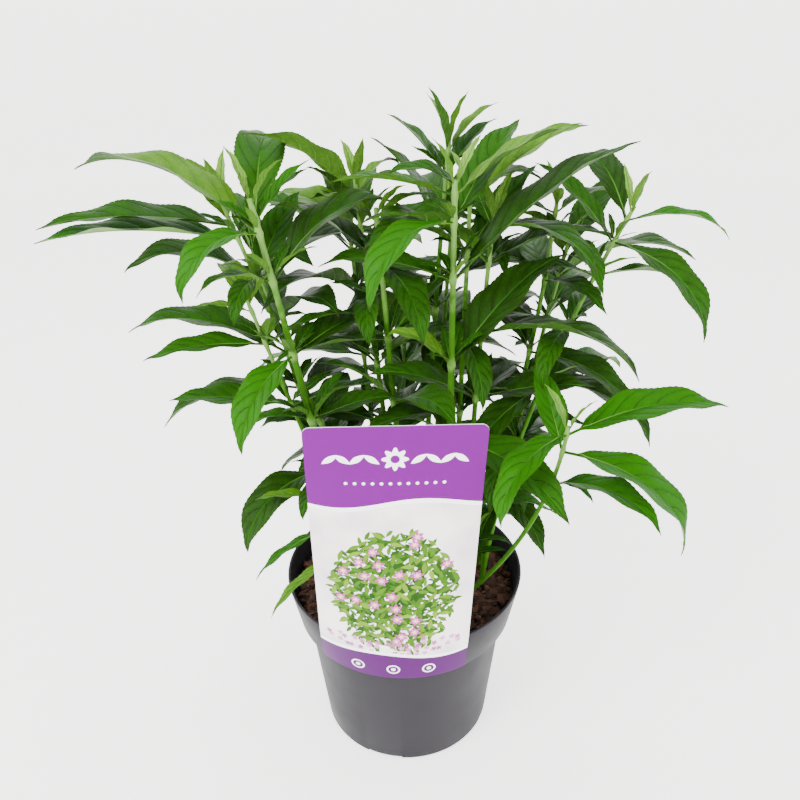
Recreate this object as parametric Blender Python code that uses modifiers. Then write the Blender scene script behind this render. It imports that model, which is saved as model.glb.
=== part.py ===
"""Potted Rostrinucula dependens: a young shrub of many stems in its nursery pot.

The pot is a thin turned shell filled with a plug of bark compost, and a tall picture label hooks
over its rim. Every stem is one bare limb from the compost to its lowest leaves. There its leafy
shoot begins: the same stem runs on to the tip with its leaves in crossed pairs, all fused.
The origin is the centre of the pot's underside, +Z is up, and the label is on the -Y side.
"""
import math
import random

import bmesh
import bpy
from mathutils import Vector
from mathutils.bvhtree import BVHTree

MM = 0.001                      # every size below is in millimetres

# Pot: a 17 cm, two litre nursery container
POT_HEIGHT = 132.0
RIM_RADIUS = 85.0               # outer radius at the lip
BAND_FOOT_RADIUS = 78.6         # the rim band narrows to this
BAND_HEIGHT = 33.6
BODY_TOP_RADIUS = 72.7          # the body starts here, under the band's step
FOOT_RADIUS = 62.7
WALL = 1.8
FLOOR = 2.4
FOOT_RING = 6.0                 # width of the ring that the pot stands on
FOOT_RISE = 3.0                 # how far the floor lies above the ground between ring and boss
BOSS_RADIUS = 24.0
FOOT_GAPS = 4
FOOT_GAP_WIDTH = 26.0
FOOT_GAP_AZIMUTH = -106.4       # the gap that shows, just left of the front
DRAIN_HOLES = 8
DRAIN_RADIUS = 4.0
TURNED_STEPS = 44

# Compost
SOIL_TOP = 118.0
SOIL_EDGE_DROP = 2.5
SEAT = 0.3                      # clearance between pieces that rest on each other

# Picture label: flat along its top edge, wrapped round the rim band at its foot
LABEL_TOP = 295.0
LABEL_FOOT = 100.0
LABEL_FACE = -88.4              # Y of the top edge
LABEL_TOP_EDGES = (-54.0, 47.5)
LABEL_FOOT_EDGES = (-57.0, 39.0)
LABEL_THICKNESS = 0.6
LABEL_COLUMNS = 10
LABEL_ROWS = 8
LABEL_BAND_ROWS = 3             # rows that lie on the rim band
TONGUE_WIDTH = 22.0             # the tongue behind the label that hooks over the rim
TONGUE_CENTRE = -6.0
TONGUE_CREST = 136.0
TONGUE_FOOT = 88.0
TONGUE_THICKNESS = 0.8

# Leaves: lance-shaped, in crossed pairs
LEAF_LENGTH = 104.0
PETIOLE = 0.08                  # share of the length that is stalk
LEAF_FOLD = 16                  # degrees that each half lifts from the midrib
LEAF_THICKNESS = 0.016          # of the length, at the midrib
LEAF_STATIONS = (0.0, PETIOLE, 0.30, 0.65, 1.0)
BUD_STATIONS = (0.0, 0.20, 0.60, 1.0)
FLESH = 0.5                     # free space kept round a leaf or a stem of another shoot
LEAF_ROOM = 1.5                 # height that leaves keep above the compost and the rim

# A pair by its place under the tip: share of the full length, rise, droop (degrees), width share
PAIR_HABIT = {
    0: (0.30, 70, 25, 0.24),
    1: (0.74, 50, 60, 0.29),
    2: (0.92, 40, 68, 0.31),
    3: (1.00, 30, 70, 0.315),
    4: (1.00, 22, 66, 0.32),
    5: (0.94, 16, 60, 0.32),
    6: (0.82, 12, 55, 0.32),
}

# Stems: foot on the compost, tip, how soon the stem leans out (0.5 is straight), gaps between its
# pairs of leaves from the tip down, azimuth of pair 1
STEM_THICKNESS = 5.0            # at the compost
STEM_TAPER = 0.42               # share of it lost by the tip
LIMB_BENDS = 4                  # straight stretches that make up a bare limb's curve
LEVEL_CUT = 1.0                 # upright end stretches of a limb, which make both its cuts level
STEMS = {
    "front": dict(foot=(30, -22), tip=(32, -25, 411), thick=6.0, gaps=(8, 15, 33, 54, 52, 55), turn=125),
    "front_left": dict(foot=(-32, -18), tip=(-79, -32, 405), thick=6.4, gaps=(12, 7, 28, 47, 45, 44),
                       turn=255),
    "left_low": dict(foot=(-30, 4), tip=(-93, -2, 338), gaps=(8, 22, 44, 52), turn=95),
    "far_left": dict(foot=(-12, 6), tip=(-106, 14, 398), gaps=(18, 8, 26, 50, 50, 50), turn=175),
    "mid_left": dict(foot=(4, 0), tip=(-12, -2, 392), thick=5.6, gaps=(8, 26, 48, 46, 46, 44), turn=60),
    "back_left": dict(foot=(0, 24), tip=(-25, 30, 402), lean=0.6, gaps=(8, 22, 46, 46, 46), turn=40),
    "top": dict(foot=(14, 10), tip=(34, 50, 424), lean=0.2, gaps=(8, 15, 29, 55, 56, 56), turn=45),
    "centre": dict(foot=(36, 10), tip=(44, 10, 400), gaps=(8, 32, 55, 55, 55), turn=50),
    "centre_right": dict(foot=(45, -2), tip=(58, 6, 385), lean=0.05, gaps=(8, 21, 45, 45, 45, 45),
                         turn=300),
    "back_right": dict(foot=(46, 26), tip=(101, 36, 386), lean=0.85, gaps=(8, 15, 29, 50, 50, 50),
                       turn=10),
    "right": dict(foot=(56, -8), tip=(146, 22, 384), lean=0.15, gaps=(8, 13, 20, 33, 40, 40, 40),
                  turn=20),
    "low_right": dict(foot=(42, -22), tip=(99, -52, 272), lean=0.9, gaps=(6, 12, 24), turn=230),
    "low_left": dict(foot=(-42, -28), tip=(-52, -38, 222), gaps=(6, 26, 25), turn=200, leaf=80, slim=0.6),
    "foot_right": dict(foot=(40, -36), tip=(44, -46, 190), gaps=(6, 12), turn=280, leaf=70),
    "back": dict(foot=(-14, 40), tip=(-34, 84, 368), gaps=(8, 15, 29, 46, 46), turn=70),
    "back_centre": dict(foot=(20, 42), tip=(40, 98, 372), gaps=(8, 15, 29, 48, 48), turn=15),
    "right_back": dict(foot=(56, 12), tip=(118, 70, 350), gaps=(8, 15, 29, 44, 44), turn=50),
    "left_back": dict(foot=(-36, 22), tip=(-100, 66, 352), gaps=(8, 15, 29, 46, 46), turn=110),
    "back_low": dict(foot=(-2, 56), tip=(4, 104, 270), gaps=(8, 15, 29, 36), turn=85),
}

# How a leaf is carried: rise where it leaves the stem, and droop from there to its tip (degrees)
CARRIAGE = {
    "upright": (78, 20),
    "raised": (52, 30),
    "arching": (52, 90),
    "slanting": (48, 26),
    "leaning": (42, 36),
    "curved": (42, 68),
    "swept": (34, 64),
    "lifted": (30, 38),
    "sloping": (28, 49),
    "bowed": (28, 78),
    "reaching": (22, 75),
    "level": (20, 35),
    "drooping": (18, 68),
    "gentle": (14, 28),
    "straight": (12, 20),
    "hanging": (12, 110),
    "flat": (10, 30),
    "dipping": (3, 92),
    "falling": (-5, 85),
    "sinking": (-16, 42),
}

# The leaves that show best, by shoot and pair: azimuth, carriage, length
SHOWN = {
    "front": {
        1: ((180, "level", 70), (0, "leaning", 77)),
        2: ((-135, "hanging", 86), (45, "raised", 78)),
        3: ((0, "slanting", 124), (165, "level", 80)),
        4: ((165, "arching", 50), (30, "raised", 96)),
    },
    "front_left": {
        1: ((90, "arching", 100), (30, "raised", 45)),
        2: ((-135, "hanging", 68), (165, "curved", 120)),
        3: ((-150, "bowed", 48), (30, "arching", 105)),
        4: ((-120, "falling", 74), (45, "level", 70)),
        5: ((-165, "bowed", 45), (15, "level", 60)),
        6: ((45, "level", 60), (-120, "hanging", 38)),
    },
    "left_low": {
        1: ((105, "arching", 60), (180, "level", 35)),
        2: ((-165, "flat", 75), (-15, "level", 65)),
        3: ((180, "straight", 80), (0, "level", 70)),
        4: ((-135, "hanging", 84), (45, "level", 70)),
    },
    "far_left": {
        1: ((-165, "gentle", 110), (135, "raised", 55)),
        2: ((-165, "gentle", 115), (15, "raised", 60)),
        3: ((-105, "hanging", 45), (60, "raised", 70)),
        4: ((180, "swept", 110), (0, "level", 60)),
        5: ((75, "level", 65), (-165, "drooping", 46)),
    },
    "mid_left": {
        1: ((135, "level", 60), (-30, "arching", 50)),
        3: ((180, "level", 80), (15, "raised", 60)),
    },
    "back_left": {
        1: ((-150, "lifted", 95), (45, "arching", 45)),
        2: ((135, "level", 90), (-15, "level", 80)),
        3: ((-120, "hanging", 60), (45, "level", 80)),
    },
    "top": {
        1: ((-150, "upright", 40), (15, "raised", 42)),
        2: ((150, "raised", 55), (30, "raised", 50)),
        3: ((165, "raised", 70), (15, "arching", 80)),
    },
    "centre": {
        1: ((15, "leaning", 86), (-165, "arching", 60)),
        2: ((15, "raised", 75), (180, "arching", 90)),
        4: ((30, "level", 90), (-165, "level", 80)),
    },
    "centre_right": {
        1: ((-60, "drooping", 84), (150, "raised", 70)),
        3: ((-30, "reaching", 110), (165, "level", 90)),
        4: ((15, "straight", 85), (180, "level", 80)),
        5: ((30, "level", 74), (180, "level", 80)),
    },
    "back_right": {
        3: ((90, "level", 80), (-60, "drooping", 60)),
        5: ((60, "level", 80), (-30, "level", 55)),
    },
    "right": {
        1: ((105, "arching", 85), (-15, "drooping", 66)),
        2: ((-45, "falling", 90), (150, "raised", 70)),
        3: ((-15, "drooping", 68), (-165, "bowed", 60)),
        4: ((60, "level", 70), (-120, "hanging", 60)),
        6: ((-120, "hanging", 62), (75, "level", 60)),
    },
    "low_right": {
        1: ((0, "sloping", 98), (-135, "hanging", 84)),
        2: ((-30, "dipping", 103), (105, "raised", 60)),
        3: ((-45, "bowed", 80), (-45, "bowed", 32)),
    },
    "foot_right": {
        1: ((0, "drooping", 28), (105, "raised", 50)),
        2: ((0, "level", 25), (180, "level", 40)),
    },
    "low_left": {
        1: ((-150, "level", 50), (30, "raised", 50)),
        2: ((-165, "sinking", 62), (15, "level", 50)),
        3: ((-150, "sinking", 60), (30, "level", 50)),
    },
}

# How a leaf gives way to its neighbours: turned, lifted and shortened, tried in this order
GIVE_WAY = [(0, 0, 1.0)] + [
    (turn * way, lift * up, size)
    for size, turn, lift in ((1.0, 9, 0), (1.0, 0, 9), (0.97, 18, 0), (0.95, 12, 14), (0.92, 0, 22),
                             (0.9, 30, 8), (0.85, 24, 24), (0.8, 42, 12), (0.7, 20, 34), (0.6, 50, 30))
    for way in (1, -1)
    for up in (1, -1)
]


def clear_scene():
    """Remove what the scene holds."""
    for item in list(bpy.data.objects):
        bpy.data.objects.remove(item, do_unlink=True)


def new_collection(name):
    collection = bpy.data.collections.new(name)
    bpy.context.scene.collection.children.link(collection)
    return collection


def material(name, red, green, blue, roughness, metallic=0.0):
    """A Principled material with the piece's own colour."""
    shade = bpy.data.materials.new(name)
    shade.use_nodes = True
    shader = shade.node_tree.nodes["Principled BSDF"]
    shader.inputs["Base Color"].default_value = (red, green, blue, 1.0)
    shader.inputs["Roughness"].default_value = roughness
    shader.inputs["Metallic"].default_value = metallic
    return shade


def mesh_object(name, verts, faces, collection):
    """An object from points in millimetres, its faces turned outward."""
    mesh = bpy.data.meshes.new(name)
    mesh.from_pydata([Vector(v) * MM for v in verts], [], faces)
    work = bmesh.new()
    work.from_mesh(mesh)
    bmesh.ops.recalc_face_normals(work, faces=work.faces)
    work.to_mesh(mesh)
    work.free()
    thing = bpy.data.objects.new(name, mesh)
    collection.objects.link(thing)
    return thing


def apply_modifiers(thing):
    """Replace the object's mesh by what its modifiers make of it."""
    depsgraph = bpy.context.evaluated_depsgraph_get()
    mesh = bpy.data.meshes.new_from_object(thing.evaluated_get(depsgraph))
    thing.modifiers.clear()
    thing.data = mesh


def turned(name, profile, steps, collection):
    """Turn a profile of (radius, height) points round +Z. It runs down its outer side."""
    mesh = bpy.data.meshes.new(name)
    points = [(radius * MM, 0.0, height * MM) for radius, height in profile]
    mesh.from_pydata(points, [(i, i + 1) for i in range(len(points) - 1)], [])
    thing = bpy.data.objects.new(name, mesh)
    collection.objects.link(thing)
    screw = thing.modifiers.new("Turn", "SCREW")
    screw.steps = steps
    screw.render_steps = steps
    screw.use_merge_vertices = True
    screw.merge_threshold = 0.00005
    return thing


def cut(thing, cutter):
    """Cut the object with the cutter, which stays as a hidden guide."""
    cutter.hide_render = True
    cutter.display_type = "WIRE"
    boolean = thing.modifiers.new("Cut " + cutter.name, "BOOLEAN")
    boolean.operation = "DIFFERENCE"
    boolean.object = cutter


def round_smooth(thing, angle=35):
    thing.data.shade_smooth()
    thing.data.set_sharp_from_angle(angle=math.radians(angle))


# Pot, compost and label


def body_radius(height):
    """Outer radius of the tapering pot body, below the rim band."""
    share = height / (POT_HEIGHT - BAND_HEIGHT)
    return FOOT_RADIUS + (BODY_TOP_RADIUS - FOOT_RADIUS) * share


def band_radius(height):
    """Outer radius of the rim band."""
    share = (POT_HEIGHT - height) / BAND_HEIGHT
    return RIM_RADIUS + (BAND_FOOT_RADIUS - RIM_RADIUS) * share


def inner_radius(height):
    """Inner radius of the pot, where the band meets the body by a short slope."""
    step = POT_HEIGHT - BAND_HEIGHT
    if height >= step + WALL:
        return band_radius(height) - WALL
    return min(body_radius(min(height, step)), BODY_TOP_RADIUS) - WALL


def build_pot(parts, cutters):
    """The shell, with a raised floor, a foot ring with four gaps, and drain holes."""
    step = POT_HEIGHT - BAND_HEIGHT
    ground = FOOT_RISE + FLOOR
    profile = [
        (0.0, ground), (inner_radius(ground), ground), (inner_radius(step), step),
        (inner_radius(step + WALL), step + WALL),
        (inner_radius(POT_HEIGHT), POT_HEIGHT - 0.6), (RIM_RADIUS - WALL * 0.65, POT_HEIGHT),
        (RIM_RADIUS - 0.5, POT_HEIGHT), (RIM_RADIUS, POT_HEIGHT - 0.7),
        (BAND_FOOT_RADIUS, step), (BODY_TOP_RADIUS, step),
        (body_radius(2.0), 2.0), (FOOT_RADIUS - 1.2, 0.0),
        (FOOT_RADIUS - FOOT_RING, 0.0), (FOOT_RADIUS - FOOT_RING - 1.0, FOOT_RISE),
        (BOSS_RADIUS + 1.0, FOOT_RISE), (BOSS_RADIUS, 0.0), (0.0, 0.0),
    ]
    pot = turned("pot", profile, TURNED_STEPS, parts)
    for i in range(FOOT_GAPS):
        azimuth = math.radians(FOOT_GAP_AZIMUTH + 360 * i / FOOT_GAPS)
        bpy.ops.mesh.primitive_cube_add(size=1.0)
        gap = bpy.context.object
        gap.name = f"foot_gap_{i}"
        reach = FOOT_RADIUS - FOOT_RING / 2
        gap.dimensions = (FOOT_RING * 3 * MM, FOOT_GAP_WIDTH * MM, 2 * (FOOT_RISE - 0.6) * MM)
        gap.location = (reach * math.cos(azimuth) * MM, reach * math.sin(azimuth) * MM, 0.0)
        gap.rotation_euler.z = azimuth
        move_to(gap, cutters)
        cut(pot, gap)
    for i in range(DRAIN_HOLES):
        azimuth = math.radians(FOOT_GAP_AZIMUTH + 360 * (i + 0.5) / DRAIN_HOLES)
        reach = (BOSS_RADIUS + FOOT_RADIUS - FOOT_RING) / 2
        bpy.ops.mesh.primitive_cylinder_add(vertices=12, radius=DRAIN_RADIUS * MM, depth=20 * MM)
        hole = bpy.context.object
        hole.name = f"drain_hole_{i}"
        hole.location = (reach * math.cos(azimuth) * MM, reach * math.sin(azimuth) * MM, 5 * MM)
        move_to(hole, cutters)
        cut(pot, hole)
    pot.data.materials.append(material("pot_plastic", 0.13, 0.125, 0.13, 0.45))
    round_smooth(pot)
    return pot


def move_to(thing, collection):
    for home in list(thing.users_collection):
        home.objects.unlink(thing)
    collection.objects.link(thing)


def tongue_back():
    """Y of the tongue's stretch inside the rim, clear of the wall's facets at its edges."""
    half = TONGUE_WIDTH / 2 + abs(TONGUE_CENTRE)
    wall = inner_radius(TONGUE_FOOT) * math.cos(math.pi / TURNED_STEPS)
    return -math.sqrt((wall - SEAT) ** 2 - half ** 2)


def build_soil(parts, cutters):
    """The plug of compost, seated off the pot all round, with a slot for the label's tongue."""
    ground = FOOT_RISE + FLOOR + SEAT
    step = POT_HEIGHT - BAND_HEIGHT
    edge = SOIL_TOP - SOIL_EDGE_DROP
    profile = [
        (0.0, SOIL_TOP), (62.0, SOIL_TOP), (inner_radius(edge) - SEAT, edge),
        (inner_radius(step + WALL) - SEAT, step + WALL + SEAT), (inner_radius(step) - SEAT, step + SEAT),
        (inner_radius(ground) - SEAT, ground), (0.0, ground),
    ]
    soil = turned("soil", profile, 40, parts)
    bpy.ops.mesh.primitive_cube_add(size=1.0)
    slot = bpy.context.object
    slot.name = "tongue_slot"
    inside = tongue_back() + TONGUE_THICKNESS + 0.8
    slot.dimensions = ((TONGUE_WIDTH + 2) * MM, 30 * MM, (SOIL_TOP - TONGUE_FOOT + 10) * 2 * MM)
    slot.location = (TONGUE_CENTRE * MM, (inside - 15) * MM, (SOIL_TOP + 6) * MM)
    move_to(slot, cutters)
    cut(soil, slot)
    soil.data.materials.append(material("bark_compost", 0.055, 0.022, 0.014, 0.95))
    return soil


def label_point(across, height):
    """Point of the label's inner face: across runs 0 to 1 from its left edge."""
    up = (height - LABEL_FOOT) / (LABEL_TOP - LABEL_FOOT)
    left = LABEL_FOOT_EDGES[0] + (LABEL_TOP_EDGES[0] - LABEL_FOOT_EDGES[0]) * up
    right = LABEL_FOOT_EDGES[1] + (LABEL_TOP_EDGES[1] - LABEL_FOOT_EDGES[1]) * up
    x = left + (right - left) * across
    radius = band_radius(min(height, POT_HEIGHT)) + 0.5
    wrapped = -math.sqrt(radius ** 2 - x ** 2)
    free = max(0.0, height - POT_HEIGHT) / (LABEL_TOP - POT_HEIGHT)
    return (x, wrapped + (LABEL_FACE - wrapped) * free, height)


def label_height(row):
    """Height of a row of the label's grid, of which one runs along the pot's lip."""
    lip = POT_HEIGHT + SEAT
    if row <= LABEL_BAND_ROWS:
        return LABEL_FOOT + (lip - LABEL_FOOT) * row / LABEL_BAND_ROWS
    return lip + (LABEL_TOP - lip) * (row - LABEL_BAND_ROWS) / (LABEL_ROWS - LABEL_BAND_ROWS)


def build_label(parts, cutters):
    """The bent sheet, with the tongue that hooks over the rim fused to its back."""
    bpy.ops.mesh.primitive_grid_add(x_subdivisions=LABEL_COLUMNS, y_subdivisions=LABEL_ROWS, size=1.0)
    label = bpy.context.object
    label.name = "label"
    label.data.name = "label"
    for vert in label.data.vertices:
        height = label_height((vert.co.y + 0.5) * LABEL_ROWS)
        vert.co = Vector(label_point(vert.co.x + 0.5, height)) * MM
    solid = label.modifiers.new("Sheet", "SOLIDIFY")
    solid.thickness = LABEL_THICKNESS * MM
    solid.offset = 1.0
    apply_modifiers(label)
    move_to(label, parts)

    front = label_point(0.5, TONGUE_CREST)[1] - LABEL_THICKNESS / 2
    back = tongue_back()
    bend = TONGUE_CREST - TONGUE_THICKNESS
    outer = back + TONGUE_THICKNESS
    path = [
        (front, TONGUE_CREST), (outer, TONGUE_CREST), (outer, TONGUE_FOOT),
        (back, TONGUE_FOOT), (back, bend), (front, bend),
    ]
    sides = [TONGUE_CENTRE - TONGUE_WIDTH / 2, TONGUE_CENTRE + TONGUE_WIDTH / 2]
    verts = [(x, y, z) for x in sides for y, z in path]
    count = len(path)
    faces = [tuple(range(count)), tuple(range(2 * count - 1, count - 1, -1))]
    faces += [(i, (i + 1) % count, (i + 1) % count + count, i + count) for i in range(count)]
    tongue = mesh_object("tongue", verts, faces, cutters)
    join = label.modifiers.new("Tongue", "BOOLEAN")
    join.operation = "UNION"
    join.object = tongue
    apply_modifiers(label)
    bpy.data.objects.remove(tongue, do_unlink=True)
    label.data.materials.clear()
    label.data.materials.append(material("label_film", 0.42, 0.075, 0.55, 0.3))
    return label


# Stems and leaves


def compass(azimuth):
    """The level direction at an azimuth in degrees: 0 is +X, 90 is +Y."""
    return Vector((math.cos(math.radians(azimuth)), math.sin(math.radians(azimuth)), 0.0))


def stem_point(stem, height):
    """Centre of a stem at a height above the compost: a curve that leans out to its tip."""
    share = height / (stem["tip"][2] - SOIL_TOP)
    lean = stem.get("lean", 0.5)
    spread = 2 * share * (1 - share) * lean + share * share
    x, y = (foot + (tip - foot) * spread for foot, tip in zip(stem["foot"], stem["tip"]))
    return Vector((x, y, SOIL_TOP + height))


def stem_radius(stem, height):
    share = height / (stem["tip"][2] - SOIL_TOP)
    return stem.get("thick", STEM_THICKNESS) / 2 * (1 - STEM_TAPER * share)


def pair_heights(stem):
    """Heights of the leaf pairs above the compost, from the youngest down."""
    height = stem["tip"][2] - SOIL_TOP
    heights = []
    for gap in stem["gaps"]:
        height -= gap
        heights.append(height)
    return heights


def mass_foot(stem):
    """Height above the compost where the bare limb ends and the leafy shoot begins."""
    return pair_heights(stem)[-1] - 9.0


def shoot_leaves(name, stem):
    """Every leaf of a shoot by the rule of growth, before it gives way to others."""
    chance = random.Random("rostrinucula " + name)
    full = stem.get("leaf", LEAF_LENGTH)
    tip = stem["tip"][2] - SOIL_TOP
    places = [(0, tip - 3.0)] + list(enumerate(pair_heights(stem), start=1))
    leaves = []
    for pair, height in places:
        size, rise, droop, width = PAIR_HABIT[min(pair, 6)]
        shown = SHOWN.get(name, {}).get(pair)
        for side in range(2):
            loose = [chance.uniform(-1, 1) for _ in range(6)]
            leaf = dict(shoot=name, pair=pair, side=side, length=full * size * (1 + 0.07 * loose[0]),
                        azimuth=stem["turn"] + 90 * (pair - 1) + 180 * side + 13 * loose[1],
                        rise=rise + 8 * loose[2], droop=droop + 14 * loose[3],
                        roll=14 * loose[4], sweep=12 * loose[5], shown=bool(shown))
            if shown:
                azimuth, carriage, length = shown[side]
                rise, droop = CARRIAGE[carriage]
                leaf.update(azimuth=azimuth, rise=rise, droop=droop, length=length, sweep=0)
            leaf["width"] = leaf["length"] * width * stem.get("slim", 1.0)
            sunk = compass(leaf["azimuth"]) * stem_radius(stem, height) * 0.5
            leaf["base"] = stem_point(stem, height) + sunk
            leaves.append(leaf)
    return leaves


def blade_half(leaf, share):
    """Half the leaf's width at a share of its length: a stalk, then a lance with a long point."""
    along = (share - PETIOLE) / (1 - PETIOLE)
    if along <= 0:
        return 0.9
    if along >= 1:
        return 0.0
    return max(0.9 * (1 - along), leaf["width"] / 2 * 3.745 * along ** 0.8 * (1 - along) ** 1.15)


def leaf_course(leaf, stations, steps=40):
    """Centre, direction, side and upward direction of the leaf at each station."""
    azimuth, rise, droop, roll, sweep = (
        math.radians(leaf[key]) for key in ("azimuth", "rise", "droop", "roll", "sweep"))
    point = Vector(leaf["base"])
    course = []
    for step in range(steps + 1):
        share = step / steps
        pitch = rise - droop * (0.35 * share + 0.65 * share * share)
        heading = azimuth + sweep * share
        level = Vector((math.cos(heading), math.sin(heading), 0.0))
        along = level * math.cos(pitch) + Vector((0.0, 0.0, math.sin(pitch)))
        side = Vector((-math.sin(heading), math.cos(heading), 0.0))
        up = along.cross(side)
        twist = roll * min(1.0, share / 0.3)
        course.append((point.copy(), along, side * math.cos(twist) + up * math.sin(twist),
                       up * math.cos(twist) - side * math.sin(twist)))
        point += along * (leaf["length"] / steps)
    return [course[round(share * steps)] for share in stations]


def leaf_solid(leaf, room=0.0, first=0):
    """A thin folded blade lofted through lozenge sections, with the given room round it."""
    stations = BUD_STATIONS if leaf["pair"] < 1 else LEAF_STATIONS
    stations = stations[first:]
    thick = max(LEAF_THICKNESS * leaf["length"], 1.0) / 2
    fold = math.tan(math.radians(LEAF_FOLD))
    verts = []
    for share, (point, along, side, up) in zip(stations, leaf_course(leaf, stations)):
        if share == 1.0:
            verts.append(point + along * room)
            continue
        half = blade_half(leaf, share)
        lift = up * half * fold if share > PETIOLE else Vector()
        deep = thick + room
        verts += [point + side * (half + room) + lift, point + up * deep,
                  point - side * (half + room) + lift, point - up * deep]
    faces = [(0, 1, 2), (0, 2, 3)]
    last = len(stations) - 2
    for row in range(last):
        for corner in range(4):
            a, b = 4 * row + corner, 4 * row + (corner + 1) % 4
            faces += [(a, a + 4, b + 4), (a, b + 4, b)]
    tip = 4 * (last + 1)
    faces += [(4 * last + corner, tip, 4 * last + (corner + 1) % 4) for corner in range(4)]
    return verts, faces


def stem_solid(stem, low, high, rings, room=0.0, sides=5):
    """A tapering tube along the stem between two heights above the compost."""
    verts = []
    for ring in range(rings + 1):
        height = low + (high - low) * ring / rings
        centre = stem_point(stem, height)
        radius = stem_radius(stem, height) + room
        for corner in range(sides):
            angle = math.tau * corner / sides
            verts.append(centre + Vector((math.cos(angle), math.sin(angle), 0)) * radius)
    faces = [tuple(range(sides))[::-1], tuple(range(rings * sides, (rings + 1) * sides))]
    for ring in range(rings):
        for corner in range(sides):
            a, b = ring * sides + corner, ring * sides + (corner + 1) % sides
            faces.append((a, b, b + sides, a + sides))
    return verts, faces


def tree_of(solid):
    return BVHTree.FromPolygons([Vector(v) for v in solid[0]], solid[1])


def stands_clear(verts):
    """Whether a leaf stays above the compost and off the pot's rim."""
    for point in verts:
        reach = math.hypot(point[0], point[1])
        if point[2] < SOIL_TOP + LEAF_ROOM and reach < RIM_RADIUS + LEAF_ROOM + 3:
            return False
        if point[2] < POT_HEIGHT + LEAF_ROOM and RIM_RADIUS - 6 < reach < RIM_RADIUS + 5:
            return False
    return True


def place_leaves(obstacles):
    """Settle every leaf clear of the other shoots. One that finds no room is left off."""
    limbs = {name: tree_of(stem_solid(stem, -2.0, stem["tip"][2] - SOIL_TOP, 12, FLESH))
             for name, stem in STEMS.items()}
    grown = [leaf for name, stem in STEMS.items() for leaf in shoot_leaves(name, stem)]
    grown.sort(key=lambda leaf: -1 if leaf["shown"] else leaf["pair"])
    settled = []
    for leaf in grown:
        for turn, lift, size in GIVE_WAY:
            trial = dict(leaf, azimuth=leaf["azimuth"] + turn, rise=leaf["rise"] + lift,
                         length=leaf["length"] * size, width=leaf["width"] * size)
            whole = leaf_solid(trial, FLESH / 2)
            tree, blade = tree_of(whole), tree_of(leaf_solid(trial, FLESH / 2, first=2))
            middle = sum(whole[0], Vector()) / len(whole[0])
            span = trial["length"] * 0.62
            if not stands_clear(whole[0]) or any(tree.overlap(thing) for thing in obstacles):
                continue
            own = leaf["shoot"]
            if any((blade if name == own else tree).overlap(limb) for name, limb in limbs.items()):
                continue
            near = [entry for entry in settled if (middle - entry[3]).length < span + entry[4]]
            if any(blade.overlap(entry[2]) if entry[0]["shoot"] == own else tree.overlap(entry[1])
                   for entry in near):
                continue
            settled.append((trial, tree, blade, middle, span))
            break
    return [entry[0] for entry in settled]


def build_limb(name, stem, parts):
    """The bare foot of a stem: one tapering limb with a flat cut at the compost."""
    curve = bpy.data.curves.new("stem_" + name, "CURVE")
    curve.dimensions = "3D"
    curve.bevel_depth = 1.0 * MM
    curve.bevel_resolution = 1
    curve.use_fill_caps = True
    low, high = SEAT, mass_foot(stem) - SEAT
    first, last = low + LEVEL_CUT, high - LEVEL_CUT
    bends = [first + (last - first) * ring / LIMB_BENDS for ring in range(LIMB_BENDS + 1)]
    heights = [low, *bends, high]
    spline = curve.splines.new("POLY")
    spline.points.add(len(heights) - 1)
    for point, height in zip(spline.points, heights):
        course = stem_point(stem, min(max(height, first), last)) * MM
        point.co = (course.x, course.y, (SOIL_TOP + height) * MM, 1.0)
        point.radius = stem_radius(stem, height)
    limb = bpy.data.objects.new("stem_" + name, curve)
    parts.objects.link(limb)
    limb.data.materials.append(STEM_SKIN)
    return limb


def build_shoot(name, stem, leaves, parts):
    """The leafy part of a stem, its stem and leaves fused into one solid."""
    tip = stem["tip"][2] - SOIL_TOP
    heart = mesh_object("foliage_" + name, *stem_solid(stem, mass_foot(stem), tip, rings=5), parts)
    spray = new_collection("leaves_of_" + name)
    for number, leaf in enumerate(leaves):
        mesh_object(f"leaf_{name}_{number}", *leaf_solid(leaf), spray)
    union = heart.modifiers.new("Leaves", "BOOLEAN")
    union.operation = "UNION"
    union.operand_type = "COLLECTION"
    union.collection = spray
    union.solver = "MANIFOLD"
    apply_modifiers(heart)
    for leaf in list(spray.objects):
        bpy.data.objects.remove(leaf, do_unlink=True)
    bpy.data.collections.remove(spray)
    heart.data.materials.clear()
    heart.data.materials.append(LEAF_SKIN)
    return heart


clear_scene()
PARTS = new_collection("potted_rostrinucula")
CUTTERS = new_collection("cutters")
STEM_SKIN = material("stem_bark", 0.28, 0.42, 0.14, 0.6)
LEAF_SKIN = material("leaf_green", 0.05, 0.2, 0.02, 0.5)

build_pot(PARTS, CUTTERS)
build_soil(PARTS, CUTTERS)
LABEL = build_label(PARTS, CUTTERS)
LABEL_TREE = BVHTree.FromPolygons([v.co / MM for v in LABEL.data.vertices],
                                  [tuple(f.vertices) for f in LABEL.data.polygons])
LEAVES = place_leaves([LABEL_TREE])
for stem_name, stem_habit in STEMS.items():
    build_limb(stem_name, stem_habit, PARTS)
    build_shoot(stem_name, stem_habit, [leaf for leaf in LEAVES if leaf["shoot"] == stem_name], PARTS)
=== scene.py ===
"""Potted Rostrinucula dependens: the finish of the shrub, its pot, its compost and its label."""
import math
import random

import bmesh
import bpy
import numpy as np
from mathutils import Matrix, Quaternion, Vector
from mathutils.bvhtree import BVHTree


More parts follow.
